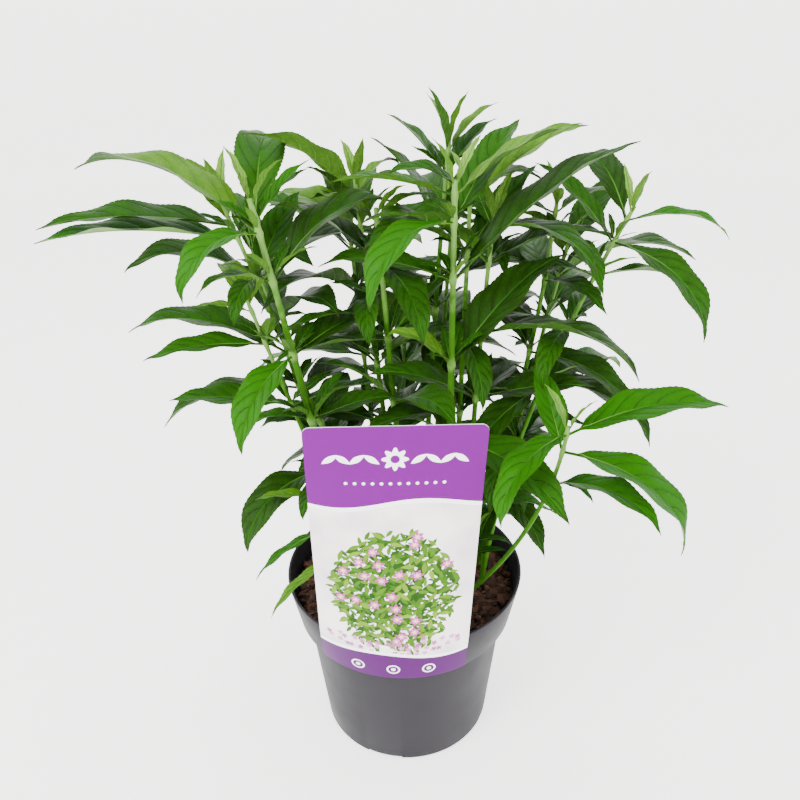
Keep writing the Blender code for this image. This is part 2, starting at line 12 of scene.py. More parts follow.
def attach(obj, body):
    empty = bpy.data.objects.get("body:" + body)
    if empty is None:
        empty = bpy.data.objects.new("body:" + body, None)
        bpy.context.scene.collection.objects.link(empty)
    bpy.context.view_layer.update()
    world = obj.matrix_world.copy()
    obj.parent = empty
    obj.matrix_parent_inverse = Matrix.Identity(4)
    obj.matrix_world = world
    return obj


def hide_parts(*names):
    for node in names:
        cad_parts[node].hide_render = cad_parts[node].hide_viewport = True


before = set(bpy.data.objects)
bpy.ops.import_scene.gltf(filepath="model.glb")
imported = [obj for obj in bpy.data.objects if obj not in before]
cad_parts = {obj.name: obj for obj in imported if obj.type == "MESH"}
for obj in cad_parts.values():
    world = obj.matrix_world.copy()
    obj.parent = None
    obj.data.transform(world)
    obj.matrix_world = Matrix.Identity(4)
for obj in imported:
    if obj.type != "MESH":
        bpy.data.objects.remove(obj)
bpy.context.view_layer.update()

MM = 0.001                      # sizes below are in millimetres


# Floor, light and camera. The plant stands in a round sweep of white paper that is lit from behind,
# under one large soft lamp high on the left, a weak one on the right and one overhead. The camera
# looks down on the plant at the photograph's angle, turned a little about its own axis.
FLOOR_REACH = 2600.0
SWEEP = 900.0                   # radius by which the floor curves up into the wall
WALL_TOP = 2600.0
LAMPS = {                       # place and size in metres, power in watts
    "key": ((-0.8, -0.9, 1.5), 0.8, 42.0),
    "fill": ((1.2, -0.8, 0.9), 1.0, 6.0),
    "top": ((0.1, 0.5, 1.7), 1.2, 14.0),
}
CAMERA_TARGET = (-0.5, 0.0, 265.8)
CAMERA_DISTANCE = 499.6
CAMERA_ELEVATION = 26.7
CAMERA_ROLL = -1.27
CAMERA_LENS = 34.2              # for a sensor 36 mm wide


def linear(code):
    """A colour given as sRGB hex, such as "3E8020", in linear light."""
    shares = [int(code[i:i + 2], 16) / 255 for i in (0, 2, 4)]
    return tuple(s / 12.92 if s <= 0.04045 else ((s + 0.055) / 1.055) ** 2.4 for s in shares) + (1.0,)


def node(tree, kind, links=None, **settings):
    """Add one node. A setting is a property of the node, or else the value of an input socket."""
    made = tree.nodes.new("ShaderNode" + kind)
    for key, value in settings.items():
        if hasattr(made, key):
            setattr(made, key, value)
    for key, value in settings.items():
        if not hasattr(made, key):
            made.inputs[key.replace("_", " ")].default_value = value
    for key, source in (links or {}).items():
        tree.links.new(source, made.inputs[key])
    return made


def calc(tree, operation, *values):
    """A sum in a material, of sockets and plain numbers."""
    made = node(tree, "Math", operation=operation)
    for slot, value in zip(made.inputs, values):
        if isinstance(value, (int, float)):
            slot.default_value = value
        else:
            tree.links.new(value, slot)
    return made.outputs[0]


def over(tree, under, mask, colour):
    """Lay a colour over another where the mask is 1. Each is a hex code or a socket."""
    mixed = node(tree, "Mix", {"Factor": mask}, data_type="RGBA")
    for key, value in (("A", under), ("B", colour)):
        if isinstance(value, str):
            mixed.inputs[key].default_value = linear(value)
        else:
            tree.links.new(value, mixed.inputs[key])
    return mixed.outputs["Result"]


def ramp(tree, value, start, stop, low=0.0, high=1.0):
    """The value's share of the way from start to stop, as a number between low and high."""
    return node(tree, "MapRange", {"Value": value}, From_Min=start, From_Max=stop, To_Min=low,
                To_Max=high).outputs["Result"]


def finish_of(name, colour, roughness, **sockets):
    """A Principled material with constant values on its own sockets. Returns it with its shader."""
    shade = bpy.data.materials.new(name)
    shade.use_nodes = True
    shader = shade.node_tree.nodes["Principled BSDF"]
    shader.inputs["Base Color"].default_value = linear(colour)
    shader.inputs["Roughness"].default_value = roughness
    for key, value in sockets.items():
        shader.inputs[key.replace("_", " ")].default_value = value
    return shade, shader


def deselect():
    for thing in bpy.context.selected_objects:
        thing.select_set(False)


def mesh_piece(name, verts, faces, edges=()):
    """A linked mesh object from points in millimetres."""
    mesh = bpy.data.meshes.new(name)
    mesh.from_pydata([tuple(c * MM for c in v) for v in verts], edges, faces)
    thing = bpy.data.objects.new(name, mesh)
    bpy.context.scene.collection.objects.link(thing)
    return thing


def activate(thing):
    deselect()
    thing.select_set(True)
    bpy.context.view_layer.objects.active = thing


def spun(name, profile, steps):
    """Spin an outline of (radius, height) points into a closed turned piece."""
    thing = mesh_piece(name, [(r, 0.0, z) for r, z in profile], [], [(i, i + 1) for i in range(len(profile) - 1)])
    activate(thing)
    bpy.ops.object.mode_set(mode="EDIT")
    bpy.ops.mesh.select_all(action="SELECT")
    bpy.ops.mesh.spin(steps=steps, angle=math.tau, center=(0, 0, 0), axis=(0, 0, 1))
    bpy.ops.mesh.select_all(action="SELECT")
    bpy.ops.mesh.remove_doubles(threshold=0.00002)
    bpy.ops.mesh.normals_make_consistent(inside=False)
    bpy.ops.object.mode_set(mode="OBJECT")
    return thing


def arc(centre, radius, start, stop, count):
    """Points of an arc in the (radius, height) plane, its angles in degrees."""
    angles = [math.radians(start + (stop - start) * i / count) for i in range(count + 1)]
    return [(centre[0] + radius * math.cos(a), centre[1] + radius * math.sin(a)) for a in angles]


sweep = spun("studio_sweep", [(0.0, -0.5), (FLOOR_REACH, -0.5), *arc((FLOOR_REACH, SWEEP - 0.5), SWEEP, -90, 0, 16),
                              (FLOOR_REACH + SWEEP, WALL_TOP)], 96)
sweep_finish, _ = finish_of("lit_studio_paper", "E6E6E4", 0.9, Emission_Color=linear("FFFFFF"), Emission_Strength=1.7)
sweep.data.materials.append(sweep_finish)
activate(sweep)
bpy.ops.object.shade_smooth_by_angle(angle=math.radians(30))

studio = bpy.data.worlds.new("studio")
bpy.context.scene.world = studio
studio.use_nodes = True
studio.node_tree.nodes["Background"].inputs["Color"].default_value = linear("FFFFFF")
studio.node_tree.nodes["Background"].inputs["Strength"].default_value = 1.1
for name, (place, size, power) in LAMPS.items():
    lamp = bpy.data.lights.new(name, "AREA")
    lamp.size = size
    lamp.energy = power
    light = bpy.data.objects.new(name, lamp)
    bpy.context.scene.collection.objects.link(light)
    light.location = place
    light.rotation_mode = "QUATERNION"
    light.rotation_quaternion = (Vector((0, 0, 0.25)) - Vector(place)).to_track_quat("-Z", "Y")

lens = bpy.data.cameras.new("camera")
lens.lens = CAMERA_LENS
lens.clip_start = 0.01
camera = bpy.data.objects.new("camera", lens)
bpy.context.scene.collection.objects.link(camera)
height = math.radians(CAMERA_ELEVATION)
back = Vector((0.0, -math.cos(height), math.sin(height)))
camera.location = (Vector(CAMERA_TARGET) + back * CAMERA_DISTANCE) * MM
camera.rotation_mode = "QUATERNION"
camera.rotation_quaternion = (-back).to_track_quat("-Z", "Y") @ Quaternion((0, 0, 1), math.radians(CAMERA_ROLL))
bpy.context.scene.camera = camera


# Pot. A thin-walled two litre nursery container of injection-moulded polypropylene, warm dark
# grey and satin, with a plain rim band, a raised floor and a foot ring with four drainage gaps.
POT_HEIGHT = 132.0
RIM_RADIUS = 85.0
BAND_FOOT_RADIUS = 78.6
BAND_HEIGHT = 33.6
BODY_TOP_RADIUS = 72.7
FOOT_RADIUS = 62.7
WALL = 1.8
FLOOR = 2.4
FOOT_RING = 6.0
FOOT_RISE = 3.0
BOSS_RADIUS = 24.0
FOOT_GAPS = 4
FOOT_GAP_WIDTH = 26.0
FOOT_GAP_AZIMUTH = -106.4
DRAIN_HOLES = 8
DRAIN_RADIUS = 4.0
POT_STEPS = 192


def body_radius(height):
    """Outer radius of the tapering pot body, below the rim band."""
    return FOOT_RADIUS + (BODY_TOP_RADIUS - FOOT_RADIUS) * height / (POT_HEIGHT - BAND_HEIGHT)


def band_radius(height):
    """Outer radius of the rim band."""
    return RIM_RADIUS + (BAND_FOOT_RADIUS - RIM_RADIUS) * (POT_HEIGHT - height) / BAND_HEIGHT


def inner_radius(height):
    """Inner radius of the pot, where the band meets the body by a short slope."""
    step = POT_HEIGHT - BAND_HEIGHT
    if height >= step + WALL:
        return band_radius(height) - WALL
    return min(body_radius(min(height, step)), BODY_TOP_RADIUS) - WALL


step = POT_HEIGHT - BAND_HEIGHT
ground = FOOT_RISE + FLOOR
lip = 0.9
pot_outline = [
    (0.0, ground), (inner_radius(ground) - 2, ground), (inner_radius(ground), ground + 1.5),
    (inner_radius(step), step), (inner_radius(step + WALL), step + WALL),
    (RIM_RADIUS - 2 * lip, POT_HEIGHT - lip),
    *arc((RIM_RADIUS - lip, POT_HEIGHT - lip), lip, 180, 0, 8),
    (band_radius(step + 1.2), step + 1.2),
    *arc((BAND_FOOT_RADIUS - 0.8, step + 0.8), 0.8, 0, -90, 4),
    (BODY_TOP_RADIUS + 0.8, step), (BODY_TOP_RADIUS, step - 0.8),
    (body_radius(2.4), 2.4),
    *arc((body_radius(2.4) - 2.0, 2.0), 2.0, 0, -90, 5),
    (FOOT_RADIUS - FOOT_RING, 0.0), (FOOT_RADIUS - FOOT_RING - 1.0, FOOT_RISE),
    (BOSS_RADIUS + 1.0, FOOT_RISE), (BOSS_RADIUS, 0.0), (0.0, 0.0),
]
pot = spun("pot_shell", pot_outline, POT_STEPS)
for i in range(FOOT_GAPS + DRAIN_HOLES):
    deselect()
    if i < FOOT_GAPS:
        azimuth = math.radians(FOOT_GAP_AZIMUTH + 360 * i / FOOT_GAPS)
        bpy.ops.mesh.primitive_cube_add(size=1.0)
        cutter = bpy.context.object
        reach = FOOT_RADIUS - FOOT_RING / 2
        cutter.dimensions = (FOOT_RING * 3 * MM, FOOT_GAP_WIDTH * MM, 2 * (FOOT_RISE - 0.6) * MM)
        cutter.location = (reach * math.cos(azimuth) * MM, reach * math.sin(azimuth) * MM, 0.0)
        cutter.rotation_euler.z = azimuth
    else:
        azimuth = math.radians(FOOT_GAP_AZIMUTH + 360 * (i - FOOT_GAPS + 0.5) / DRAIN_HOLES)
        reach = (BOSS_RADIUS + FOOT_RADIUS - FOOT_RING) / 2
        bpy.ops.mesh.primitive_cylinder_add(vertices=32, radius=DRAIN_RADIUS * MM, depth=20 * MM)
        cutter = bpy.context.object
        cutter.location = (reach * math.cos(azimuth) * MM, reach * math.sin(azimuth) * MM, 5 * MM)
    opening = pot.modifiers.new("opening", "BOOLEAN")
    opening.operation = "DIFFERENCE"
    opening.object = cutter
    activate(pot)
    bpy.ops.object.modifier_apply(modifier=opening.name)
    bpy.data.objects.remove(cutter, do_unlink=True)
activate(pot)
bpy.ops.object.shade_smooth_by_angle(angle=math.radians(32))

# Moulded polypropylene: a satin skin with a faint orange peel and a little dust, so its sheen
# spreads softly down the sides.
pot_finish, pot_shader = finish_of("moulded_polypropylene", "222025", 0.42, Specular_IOR_Level=0.1)
tree = pot_finish.node_tree
place = node(tree, "TexCoord")
peel = node(tree, "TexNoise", {"Vector": place.outputs["Object"]}, Scale=1 / (1.4 * MM), Detail=2.0)
dust = node(tree, "TexNoise", {"Vector": place.outputs["Object"]}, Scale=1 / (38 * MM), Detail=5.0)
rough = node(tree, "MapRange", {"Value": dust.outputs["Fac"]}, From_Min=0.3, From_Max=0.7, To_Min=0.36, To_Max=0.52)
tree.links.new(rough.outputs["Result"], pot_shader.inputs["Roughness"])
tint = node(tree, "Mix", {"Factor": dust.outputs["Fac"]}, data_type="RGBA")
tint.inputs["A"].default_value = linear("1F1D22")
tint.inputs["B"].default_value = linear("272529")
tree.links.new(tint.outputs["Result"], pot_shader.inputs["Base Color"])
bump = node(tree, "Bump", {"Height": peel.outputs["Fac"]}, Strength=0.12, Distance=0.0002)
tree.links.new(bump.outputs["Normal"], pot_shader.inputs["Normal"])
pot.data.materials.append(pot_finish)
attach(pot, "root")
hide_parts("pot")


# Compost. A dark, moist mix of peat and composted bark, filled to just under the rim. Its bed is
# uneven, and flat bark chips and pale fibres lie on it.
SOIL_TOP = 118.0
SOIL_EDGE_DROP = 2.5
SEAT = 0.3
SOIL_RELIEF = 1.1
CHIPS = {                       # kind: colour, count, longest side, width share, thickness share
    "peat_crumbs": ("30201A", 1500, 4.5, 0.8, 0.6),
    "bark_chips_dark": ("432B22", 1000, 11.0, 0.5, 0.22),
    "bark_chips_red": ("5C392C", 620, 14.0, 0.42, 0.18),
    "bark_fibres": ("6E4630", 110, 13.0, 0.1, 0.08),
}

edge = SOIL_TOP - SOIL_EDGE_DROP
rim = inner_radius(edge) - SEAT
bed_outline = [(0.0, SOIL_TOP)]
bed_outline += [(rim * i / 24, SOIL_TOP - SOIL_EDGE_DROP * (i / 24) ** 3) for i in range(1, 25)]
bed_outline += [(inner_radius(step + WALL) - SEAT, step + WALL + SEAT), (inner_radius(step) - SEAT, step + SEAT),
                (inner_radius(ground) - SEAT, ground + SEAT), (0.0, ground + SEAT)]
bed = spun("compost_bed", bed_outline, 128)
shake = random.Random("compost bed")
for vert in bed.data.vertices:
    reach = math.hypot(vert.co.x, vert.co.y) / MM
    if vert.co.z / MM > edge + 0.01 and reach < rim - 1:
        vert.co.z += shake.uniform(-SOIL_RELIEF, 0.2 * SOIL_RELIEF) * MM
activate(bed)
bpy.ops.object.shade_smooth_by_angle(angle=math.radians(40))


def matt_crumb(name, colour):
    """Moist organic matter: matt, with a coarse grain of lighter and darker specks."""
    shade, shader = finish_of(name, colour, 0.85, Specular_IOR_Level=0.3)
    tree = shade.node_tree
    place = node(tree, "TexCoord")
    grain = node(tree, "TexNoise", {"Vector": place.outputs["Object"]}, Scale=1 / (1.6 * MM), Detail=4.0)
    bump = node(tree, "Bump", {"Height": grain.outputs["Fac"]}, Strength=0.5, Distance=0.0006)
    tree.links.new(bump.outputs["Normal"], shader.inputs["Normal"])
    return shade


bed.data.materials.append(matt_crumb("moist_peat", "1C100C"))
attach(bed, "root")
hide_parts("soil")

for kind, (colour, count, longest, width, thick) in CHIPS.items():
    chance = random.Random(kind)
    verts, faces = [], []
    while len(faces) < 6 * count:
        reach, turn = (rim - 3.5) * math.sqrt(chance.random()), chance.uniform(0, math.tau)
        x, y = reach * math.cos(turn), reach * math.sin(turn)
        if y < -62 and -20 < x < 8:
            continue
        length = longest * chance.uniform(0.35, 1.0)
        half = Vector((length, longest * width * chance.uniform(0.5, 1.0), longest * thick * chance.uniform(0.6, 1.2))) / 2
        spin = Quaternion((0, 0, 1), chance.uniform(0, math.tau)) @ Quaternion((0, 1, 0), chance.gauss(0, 0.28)) \
            @ Quaternion((1, 0, 0), chance.gauss(0, 0.3))
        centre = Vector((x, y, SOIL_TOP - SOIL_EDGE_DROP * (reach / rim) ** 3 + chance.uniform(-0.4, 1.3)))
        first = len(verts)
        for sx, sy, sz in ((-1, -1, -1), (1, -1, -1), (1, 1, -1), (-1, 1, -1),
                           (-1, -1, 1), (1, -1, 1), (1, 1, 1), (-1, 1, 1)):
            corner = Vector((sx * half.x * chance.uniform(0.6, 1.1), sy * half.y * chance.uniform(0.45, 1.15),
                             sz * half.z * chance.uniform(0.7, 1.1)))
            verts.append(centre + spin @ corner)
        faces += [tuple(first + i for i in quad) for quad in ((3, 2, 1, 0), (4, 5, 6, 7), (0, 1, 5, 4),
                                                             (1, 2, 6, 5), (2, 3, 7, 6), (3, 0, 4, 7))]
    chips = mesh_piece(kind, verts, faces)
    chips.data.materials.append(matt_crumb(kind, colour))
    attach(chips, "root")


# Label. A picture label of printed plastic film, flat along its top and wrapped round the rim band
# at its foot, with a tongue behind it that hooks over the rim. The print is a plain design of
# blooms and leaves between two violet bands.
LABEL_TOP = 295.0
LABEL_FOOT = 100.0
LABEL_FACE = -88.4
LABEL_TOP_EDGES = (-54.0, 47.5)
LABEL_FOOT_EDGES = (-57.0, 39.0)
LABEL_THICKNESS = 0.6
LABEL_CORNER = 4.5
LABEL_COLUMNS = 40
LABEL_SIZE = (100.0, LABEL_TOP - LABEL_FOOT)
TONGUE_WIDTH = 22.0
TONGUE_CENTRE = -6.0
TONGUE_CREST = 136.0
TONGUE_FOOT = 88.0
TONGUE_THICKNESS = 0.8


def label_point(across, height):
    """Point of the label's inner face: across runs 0 to 1 from its left edge."""
    up = (height - LABEL_FOOT) / (LABEL_TOP - LABEL_FOOT)
    left = LABEL_FOOT_EDGES[0] + (LABEL_TOP_EDGES[0] - LABEL_FOOT_EDGES[0]) * up
    right = LABEL_FOOT_EDGES[1] + (LABEL_TOP_EDGES[1] - LABEL_FOOT_EDGES[1]) * up
    x = left + (right - left) * across
    wrapped = -math.sqrt((band_radius(min(height, POT_HEIGHT)) + 0.5) ** 2 - x ** 2)
    free = max(0.0, height - POT_HEIGHT) / (LABEL_TOP - POT_HEIGHT)
    return (x, wrapped + (LABEL_FACE - wrapped) * free, height)


lip_row = POT_HEIGHT + SEAT
rows = [LABEL_FOOT + (lip_row - LABEL_FOOT) * i / 16 for i in range(17)]
rows += [lip_row + (LABEL_TOP - LABEL_CORNER - lip_row) * i / 60 for i in range(1, 61)]
rows += [LABEL_TOP - LABEL_CORNER * (1 - math.sin(math.pi / 2 * i / 8)) for i in range(1, 9)]
deselect()
bpy.ops.mesh.primitive_grid_add(x_subdivisions=LABEL_COLUMNS, y_subdivisions=len(rows) - 1, size=1.0)
label = bpy.context.object
label.name = "label_film"
across = {}
for vert in label.data.vertices:
    height = rows[round((vert.co.y + 0.5) * (len(rows) - 1))]
    rise = max(0.0, height - (LABEL_TOP - LABEL_CORNER))
    inset = (LABEL_CORNER - math.sqrt(max(0.0, LABEL_CORNER ** 2 - rise ** 2))) / LABEL_SIZE[0]
    share = inset + (vert.co.x + 0.5) * (1 - 2 * inset)
    across[vert.index] = (share, (height - LABEL_FOOT) / LABEL_SIZE[1])
    vert.co = Vector(label_point(share, height)) * MM
for loop, uv in zip(label.data.loops, label.data.uv_layers[0].data):
    uv.uv = across[loop.vertex_index]
sheet = label.modifiers.new("film", "SOLIDIFY")
sheet.thickness = LABEL_THICKNESS * MM
sheet.offset = 1.0
activate(label)
bpy.ops.object.modifier_apply(modifier=sheet.name)
bpy.ops.object.shade_smooth_by_angle(angle=math.radians(30))

half = TONGUE_WIDTH / 2 + abs(TONGUE_CENTRE)
tongue_back = -math.sqrt((inner_radius(TONGUE_FOOT) * math.cos(math.pi / 44) - SEAT) ** 2 - half ** 2)
front = label_point(0.5, TONGUE_CREST)[1]
middle = (front + tongue_back) / 2
span = (tongue_back - front) / 2
crown = [(middle - span * math.cos(a), TONGUE_CREST - 2.6 + 2.6 * math.sin(a))
         for a in (math.pi * i / 16 for i in range(17))]
course = [(front, TONGUE_CREST - 7), *crown, (tongue_back, TONGUE_CREST - 20), (tongue_back, TONGUE_FOOT)]
verts = [(TONGUE_CENTRE + side * TONGUE_WIDTH / 2, y, z) for y, z in course for side in (-1, 1)]
tongue = mesh_piece("label_tongue", verts, [(2 * i, 2 * i + 1, 2 * i + 3, 2 * i + 2) for i in range(len(course) - 1)])
sheet = tongue.modifiers.new("film", "SOLIDIFY")
sheet.thickness = 0.5 * MM
sheet.offset = 0.0
activate(tongue)
bpy.ops.object.modifier_apply(modifier=sheet.name)
bpy.ops.object.shade_smooth_by_angle(angle=math.radians(30))

# Printed film: a smooth satin coat over the inks, so the bands keep one clear highlight. The
# coordinates of the print are millimetres from the label's foot at its centre line.
print_finish, print_shader = finish_of("printed_film", "EDE8DC", 0.3, Coat_Weight=0.03, Coat_Roughness=0.2,
                                       Specular_IOR_Level=0.06)
tree = print_finish.node_tree
place = node(tree, "TexCoord")
spot = node(tree, "Mapping", {"Vector": place.outputs["UV"]}, Location=(-LABEL_SIZE[0] / 2, 0, 0),
            Scale=(*LABEL_SIZE, 1)).outputs["Vector"]
print_x, print_y, _ = node(tree, "SeparateXYZ", {"Vector": spot}).outputs


def wave(level, swing, phase):
    """Height of a wavy edge across the label."""
    turn = calc(tree, "MULTIPLY_ADD", print_x, math.tau / LABEL_SIZE[0], phase)
    return calc(tree, "MULTIPLY_ADD", calc(tree, "SINE", turn), swing, level)


def leaf_shape(x, y):
    """A pointed leaf, two long and two wide, lying along its own x axis."""
    bulge = calc(tree, "SUBTRACT", 1.0, calc(tree, "POWER", calc(tree, "ABSOLUTE", x), 1.7))
    return calc(tree, "LESS_THAN", calc(tree, "ABSOLUTE", y), bulge)


def bloom_shape(x, y, petals, cut, turn=0.0):
    """A round bloom of radius 1: cut is how deep its petals are parted."""
    reach = calc(tree, "SQRT", calc(tree, "ADD", calc(tree, "MULTIPLY", x, x), calc(tree, "MULTIPLY", y, y)))
    angle = calc(tree, "MULTIPLY_ADD", calc(tree, "ARCTAN2", y, x), petals, turn)
    edge = calc(tree, "MULTIPLY_ADD", calc(tree, "COSINE", angle), cut / 2, 1 - cut / 2)
    return calc(tree, "LESS_THAN", reach, edge)


def lying(x, y, turn, half_length, half_width):
    """The print's axes moved to a spot, turned and scaled to a motif's half sizes."""
    own = node(tree, "Mapping", {"Vector": spot}, vector_type="TEXTURE", Location=(x, y, 0),
               Rotation=(0, 0, math.radians(turn)), Scale=(half_length, half_width, 1))
    return node(tree, "SeparateXYZ", {"Vector": own.outputs["Vector"]}).outputs[:2]


def strewn(gap, shift, centre, reach):
    """Spots strewn about a gap apart in an oval: their turned axes, their chance, and a mask of them."""
    grid = node(tree, "Mapping", {"Vector": spot}, Location=(shift, shift, 0), Scale=(1 / gap, 1 / gap, 1))
    cells = node(tree, "TexVoronoi", {"Vector": grid.outputs["Vector"]}, voronoi_dimensions="2D", Scale=1.0,
                 Randomness=0.75)
    chance = node(tree, "SeparateColor", {"Color": cells.outputs["Color"]}).outputs
    away = node(tree, "VectorMath", {0: grid.outputs["Vector"], 1: cells.outputs["Position"]}, operation="SUBTRACT")
    turned = node(tree, "VectorRotate", {"Vector": away.outputs["Vector"],
                                         "Angle": calc(tree, "MULTIPLY", chance[0], math.tau)}, rotation_type="Z_AXIS")
    home = node(tree, "SeparateXYZ", {"Vector": cells.outputs["Position"]}).outputs
    wide = calc(tree, "MULTIPLY_ADD", home[0], gap / reach[0], -(shift * gap + centre[0]) / reach[0])
    tall = calc(tree, "MULTIPLY_ADD", home[1], gap / reach[1], -(shift * gap + centre[1]) / reach[1])
    far = calc(tree, "ADD", calc(tree, "MULTIPLY", wide, wide), calc(tree, "MULTIPLY", tall, tall))
    return node(tree, "SeparateXYZ", {"Vector": turned.outputs["Vector"]}).outputs[:2], chance, \
        calc(tree, "LESS_THAN", far, 1.0)


haze = node(tree, "TexNoise", {"Vector": spot}, Scale=0.03, Detail=2.0)
colour = over(tree, "F6F1EE", ramp(tree, haze.outputs["Fac"], 0.4, 0.65), "D9CFD2")
thicket = node(tree, "TexNoise", {"Vector": spot}, Scale=0.16, Detail=3.0)
far = node(tree, "VectorMath", {0: node(tree, "Mapping", {"Vector": spot}, vector_type="TEXTURE", Location=(0, 78, 0),
                                        Scale=(39, 45, 1)).outputs["Vector"]}, operation="LENGTH").outputs["Value"]
shadow = calc(tree, "GREATER_THAN", calc(tree, "SUBTRACT", thicket.outputs["Fac"], calc(tree, "MULTIPLY", far, 0.17)), 0.37)
shadow = calc(tree, "MULTIPLY", shadow, calc(tree, "LESS_THAN", far, 1.0))
colour = over(tree, colour, shadow, over(tree, "173406", ramp(tree, thicket.outputs["Fac"], 0.4, 0.7), "264C0A"))
for gap, shift, reach, dark, light in ((7.5, 3.1, (38, 46), "1B3C06", "26500A"), (6.5, 7.7, (41, 50), "265206", "42700E"),
                                       (6.0, 4.4, (40, 48), "2A5606", "547C16"), (8.0, 1.3, (40, 49), "346206", "6E8E20")):
    (x, y), chance, within = strewn(gap, shift, (0, 76), reach)
    shape = leaf_shape(calc(tree, "MULTIPLY", x, 1.7), calc(tree, "MULTIPLY", y, 5.2))
    green = over(tree, dark, chance[1], light)
    colour = over(tree, colour, calc(tree, "MULTIPLY", shape, within), green)
(x, y), chance, within = strewn(11.0, 5.2, (0, 80), (36, 44))
picked = calc(tree, "MULTIPLY", within, calc(tree, "GREATER_THAN", chance[2], 0.45))
for size, cut, turn, shade in ((2.6, 0.5, 0.0, "A84486"), (4.4, 0.5, math.pi, "D68CBC"), (11.0, 0.0, 0.0, "E6D080")):
    shape = bloom_shape(calc(tree, "MULTIPLY", x, size), calc(tree, "MULTIPLY", y, size), 6, cut, turn)
    colour = over(tree, colour, calc(tree, "MULTIPLY", shape, picked), shade)
(x, y), chance, within = strewn(5.2, 9.4, (0, 33), (47, 8))
shape = bloom_shape(calc(tree, "MULTIPLY", x, 2.3), calc(tree, "MULTIPLY", y, 2.3), 5, 0.45)
colour = over(tree, colour, calc(tree, "MULTIPLY", shape, within), over(tree, "9A4484", chance[1], "D898C4"))
for level, shade in ((141, "FFFFFF"), (144, "620070")):
    colour = over(tree, colour, calc(tree, "GREATER_THAN", print_y, wave(level, 3.5, 0.6)), shade)
for level, shade in ((25, "FFFFFF"), (22, "460052")):
    colour = over(tree, colour, calc(tree, "LESS_THAN", print_y, wave(level, 2.5, 2.2)), shade)
colour = over(tree, colour, bloom_shape(*lying(0, 174, 0, 7.5, 7.5), 8, 0.35), "FFFFFF")
colour = over(tree, colour, bloom_shape(*lying(0, 174, 0, 2.6, 2.6), 1, 0.0), "620070")
for side in (-1, 1):
    for step_out, tilt in ((13, 34), (21, -34), (29, 34), (36, -34)):
        motif = lying(side * step_out, 174, side * tilt, 5.4, 1.9)
        colour = over(tree, colour, leaf_shape(*motif), "FFFFFF")
    for step_out in (2.5, 7.5, 12.5, 17.5, 22.5, 27.5):
        motif = lying(side * step_out, 158, 0, 1.0, 1.0)
        colour = over(tree, colour, bloom_shape(*motif, 1, 0.0), "FBF2FC")
for place_out in (-24, 0, 24):
    for size, shade in ((4.6, "F2E8F4"), (3.4, "460052"), (1.6, "F2E8F4")):
        colour = over(tree, colour, bloom_shape(*lying(place_out, 9.5, 0, size, size), 1, 0.0), shade)
tree.links.new(colour, print_shader.inputs["Base Color"])
film_finish, film_shader = finish_of("white_film", "F1F0EC", 0.4)
label.data.materials.append(print_finish)
for face in label.data.polygons:
    face.material_index = 0 if face.normal.y < -0.5 else 1
for piece in (label, tongue):
    piece.data.materials.append(film_finish)
    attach(piece, "root")
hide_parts("label")


# Growth. Every stem rises from the compost and leans out to its tip, and carries its leaves in
# crossed pairs, close together at the tip and wide apart below. A leaf gives way to its
# neighbours by turning, lifting or staying short.
LEAF_LENGTH = 104.0
PETIOLE = 0.08
LEAF_FOLD = 16
LEAF_THICKNESS = 0.016
LEAF_STATIONS = (0.0, PETIOLE, 0.30, 0.65, 1.0)
BUD_STATIONS = (0.0, 0.20, 0.60, 1.0)
FLESH = 0.5
LEAF_ROOM = 1.5
AXIL_FROM = 2                   # the youngest pair with small leaves above it
AXIL_LENGTH = (17.0, 36.0)
PAIR_HABIT = {
    0: (0.30, 70, 25, 0.24),
    1: (0.74, 50, 60, 0.29),
    2: (0.92, 40, 68, 0.31),
    3: (1.00, 30, 70, 0.315),
    4: (1.00, 22, 66, 0.32),
    5: (0.94, 16, 60, 0.32),
    6: (0.82, 12, 55, 0.32),
}
STEM_THICKNESS = 5.0
STEM_TAPER = 0.42
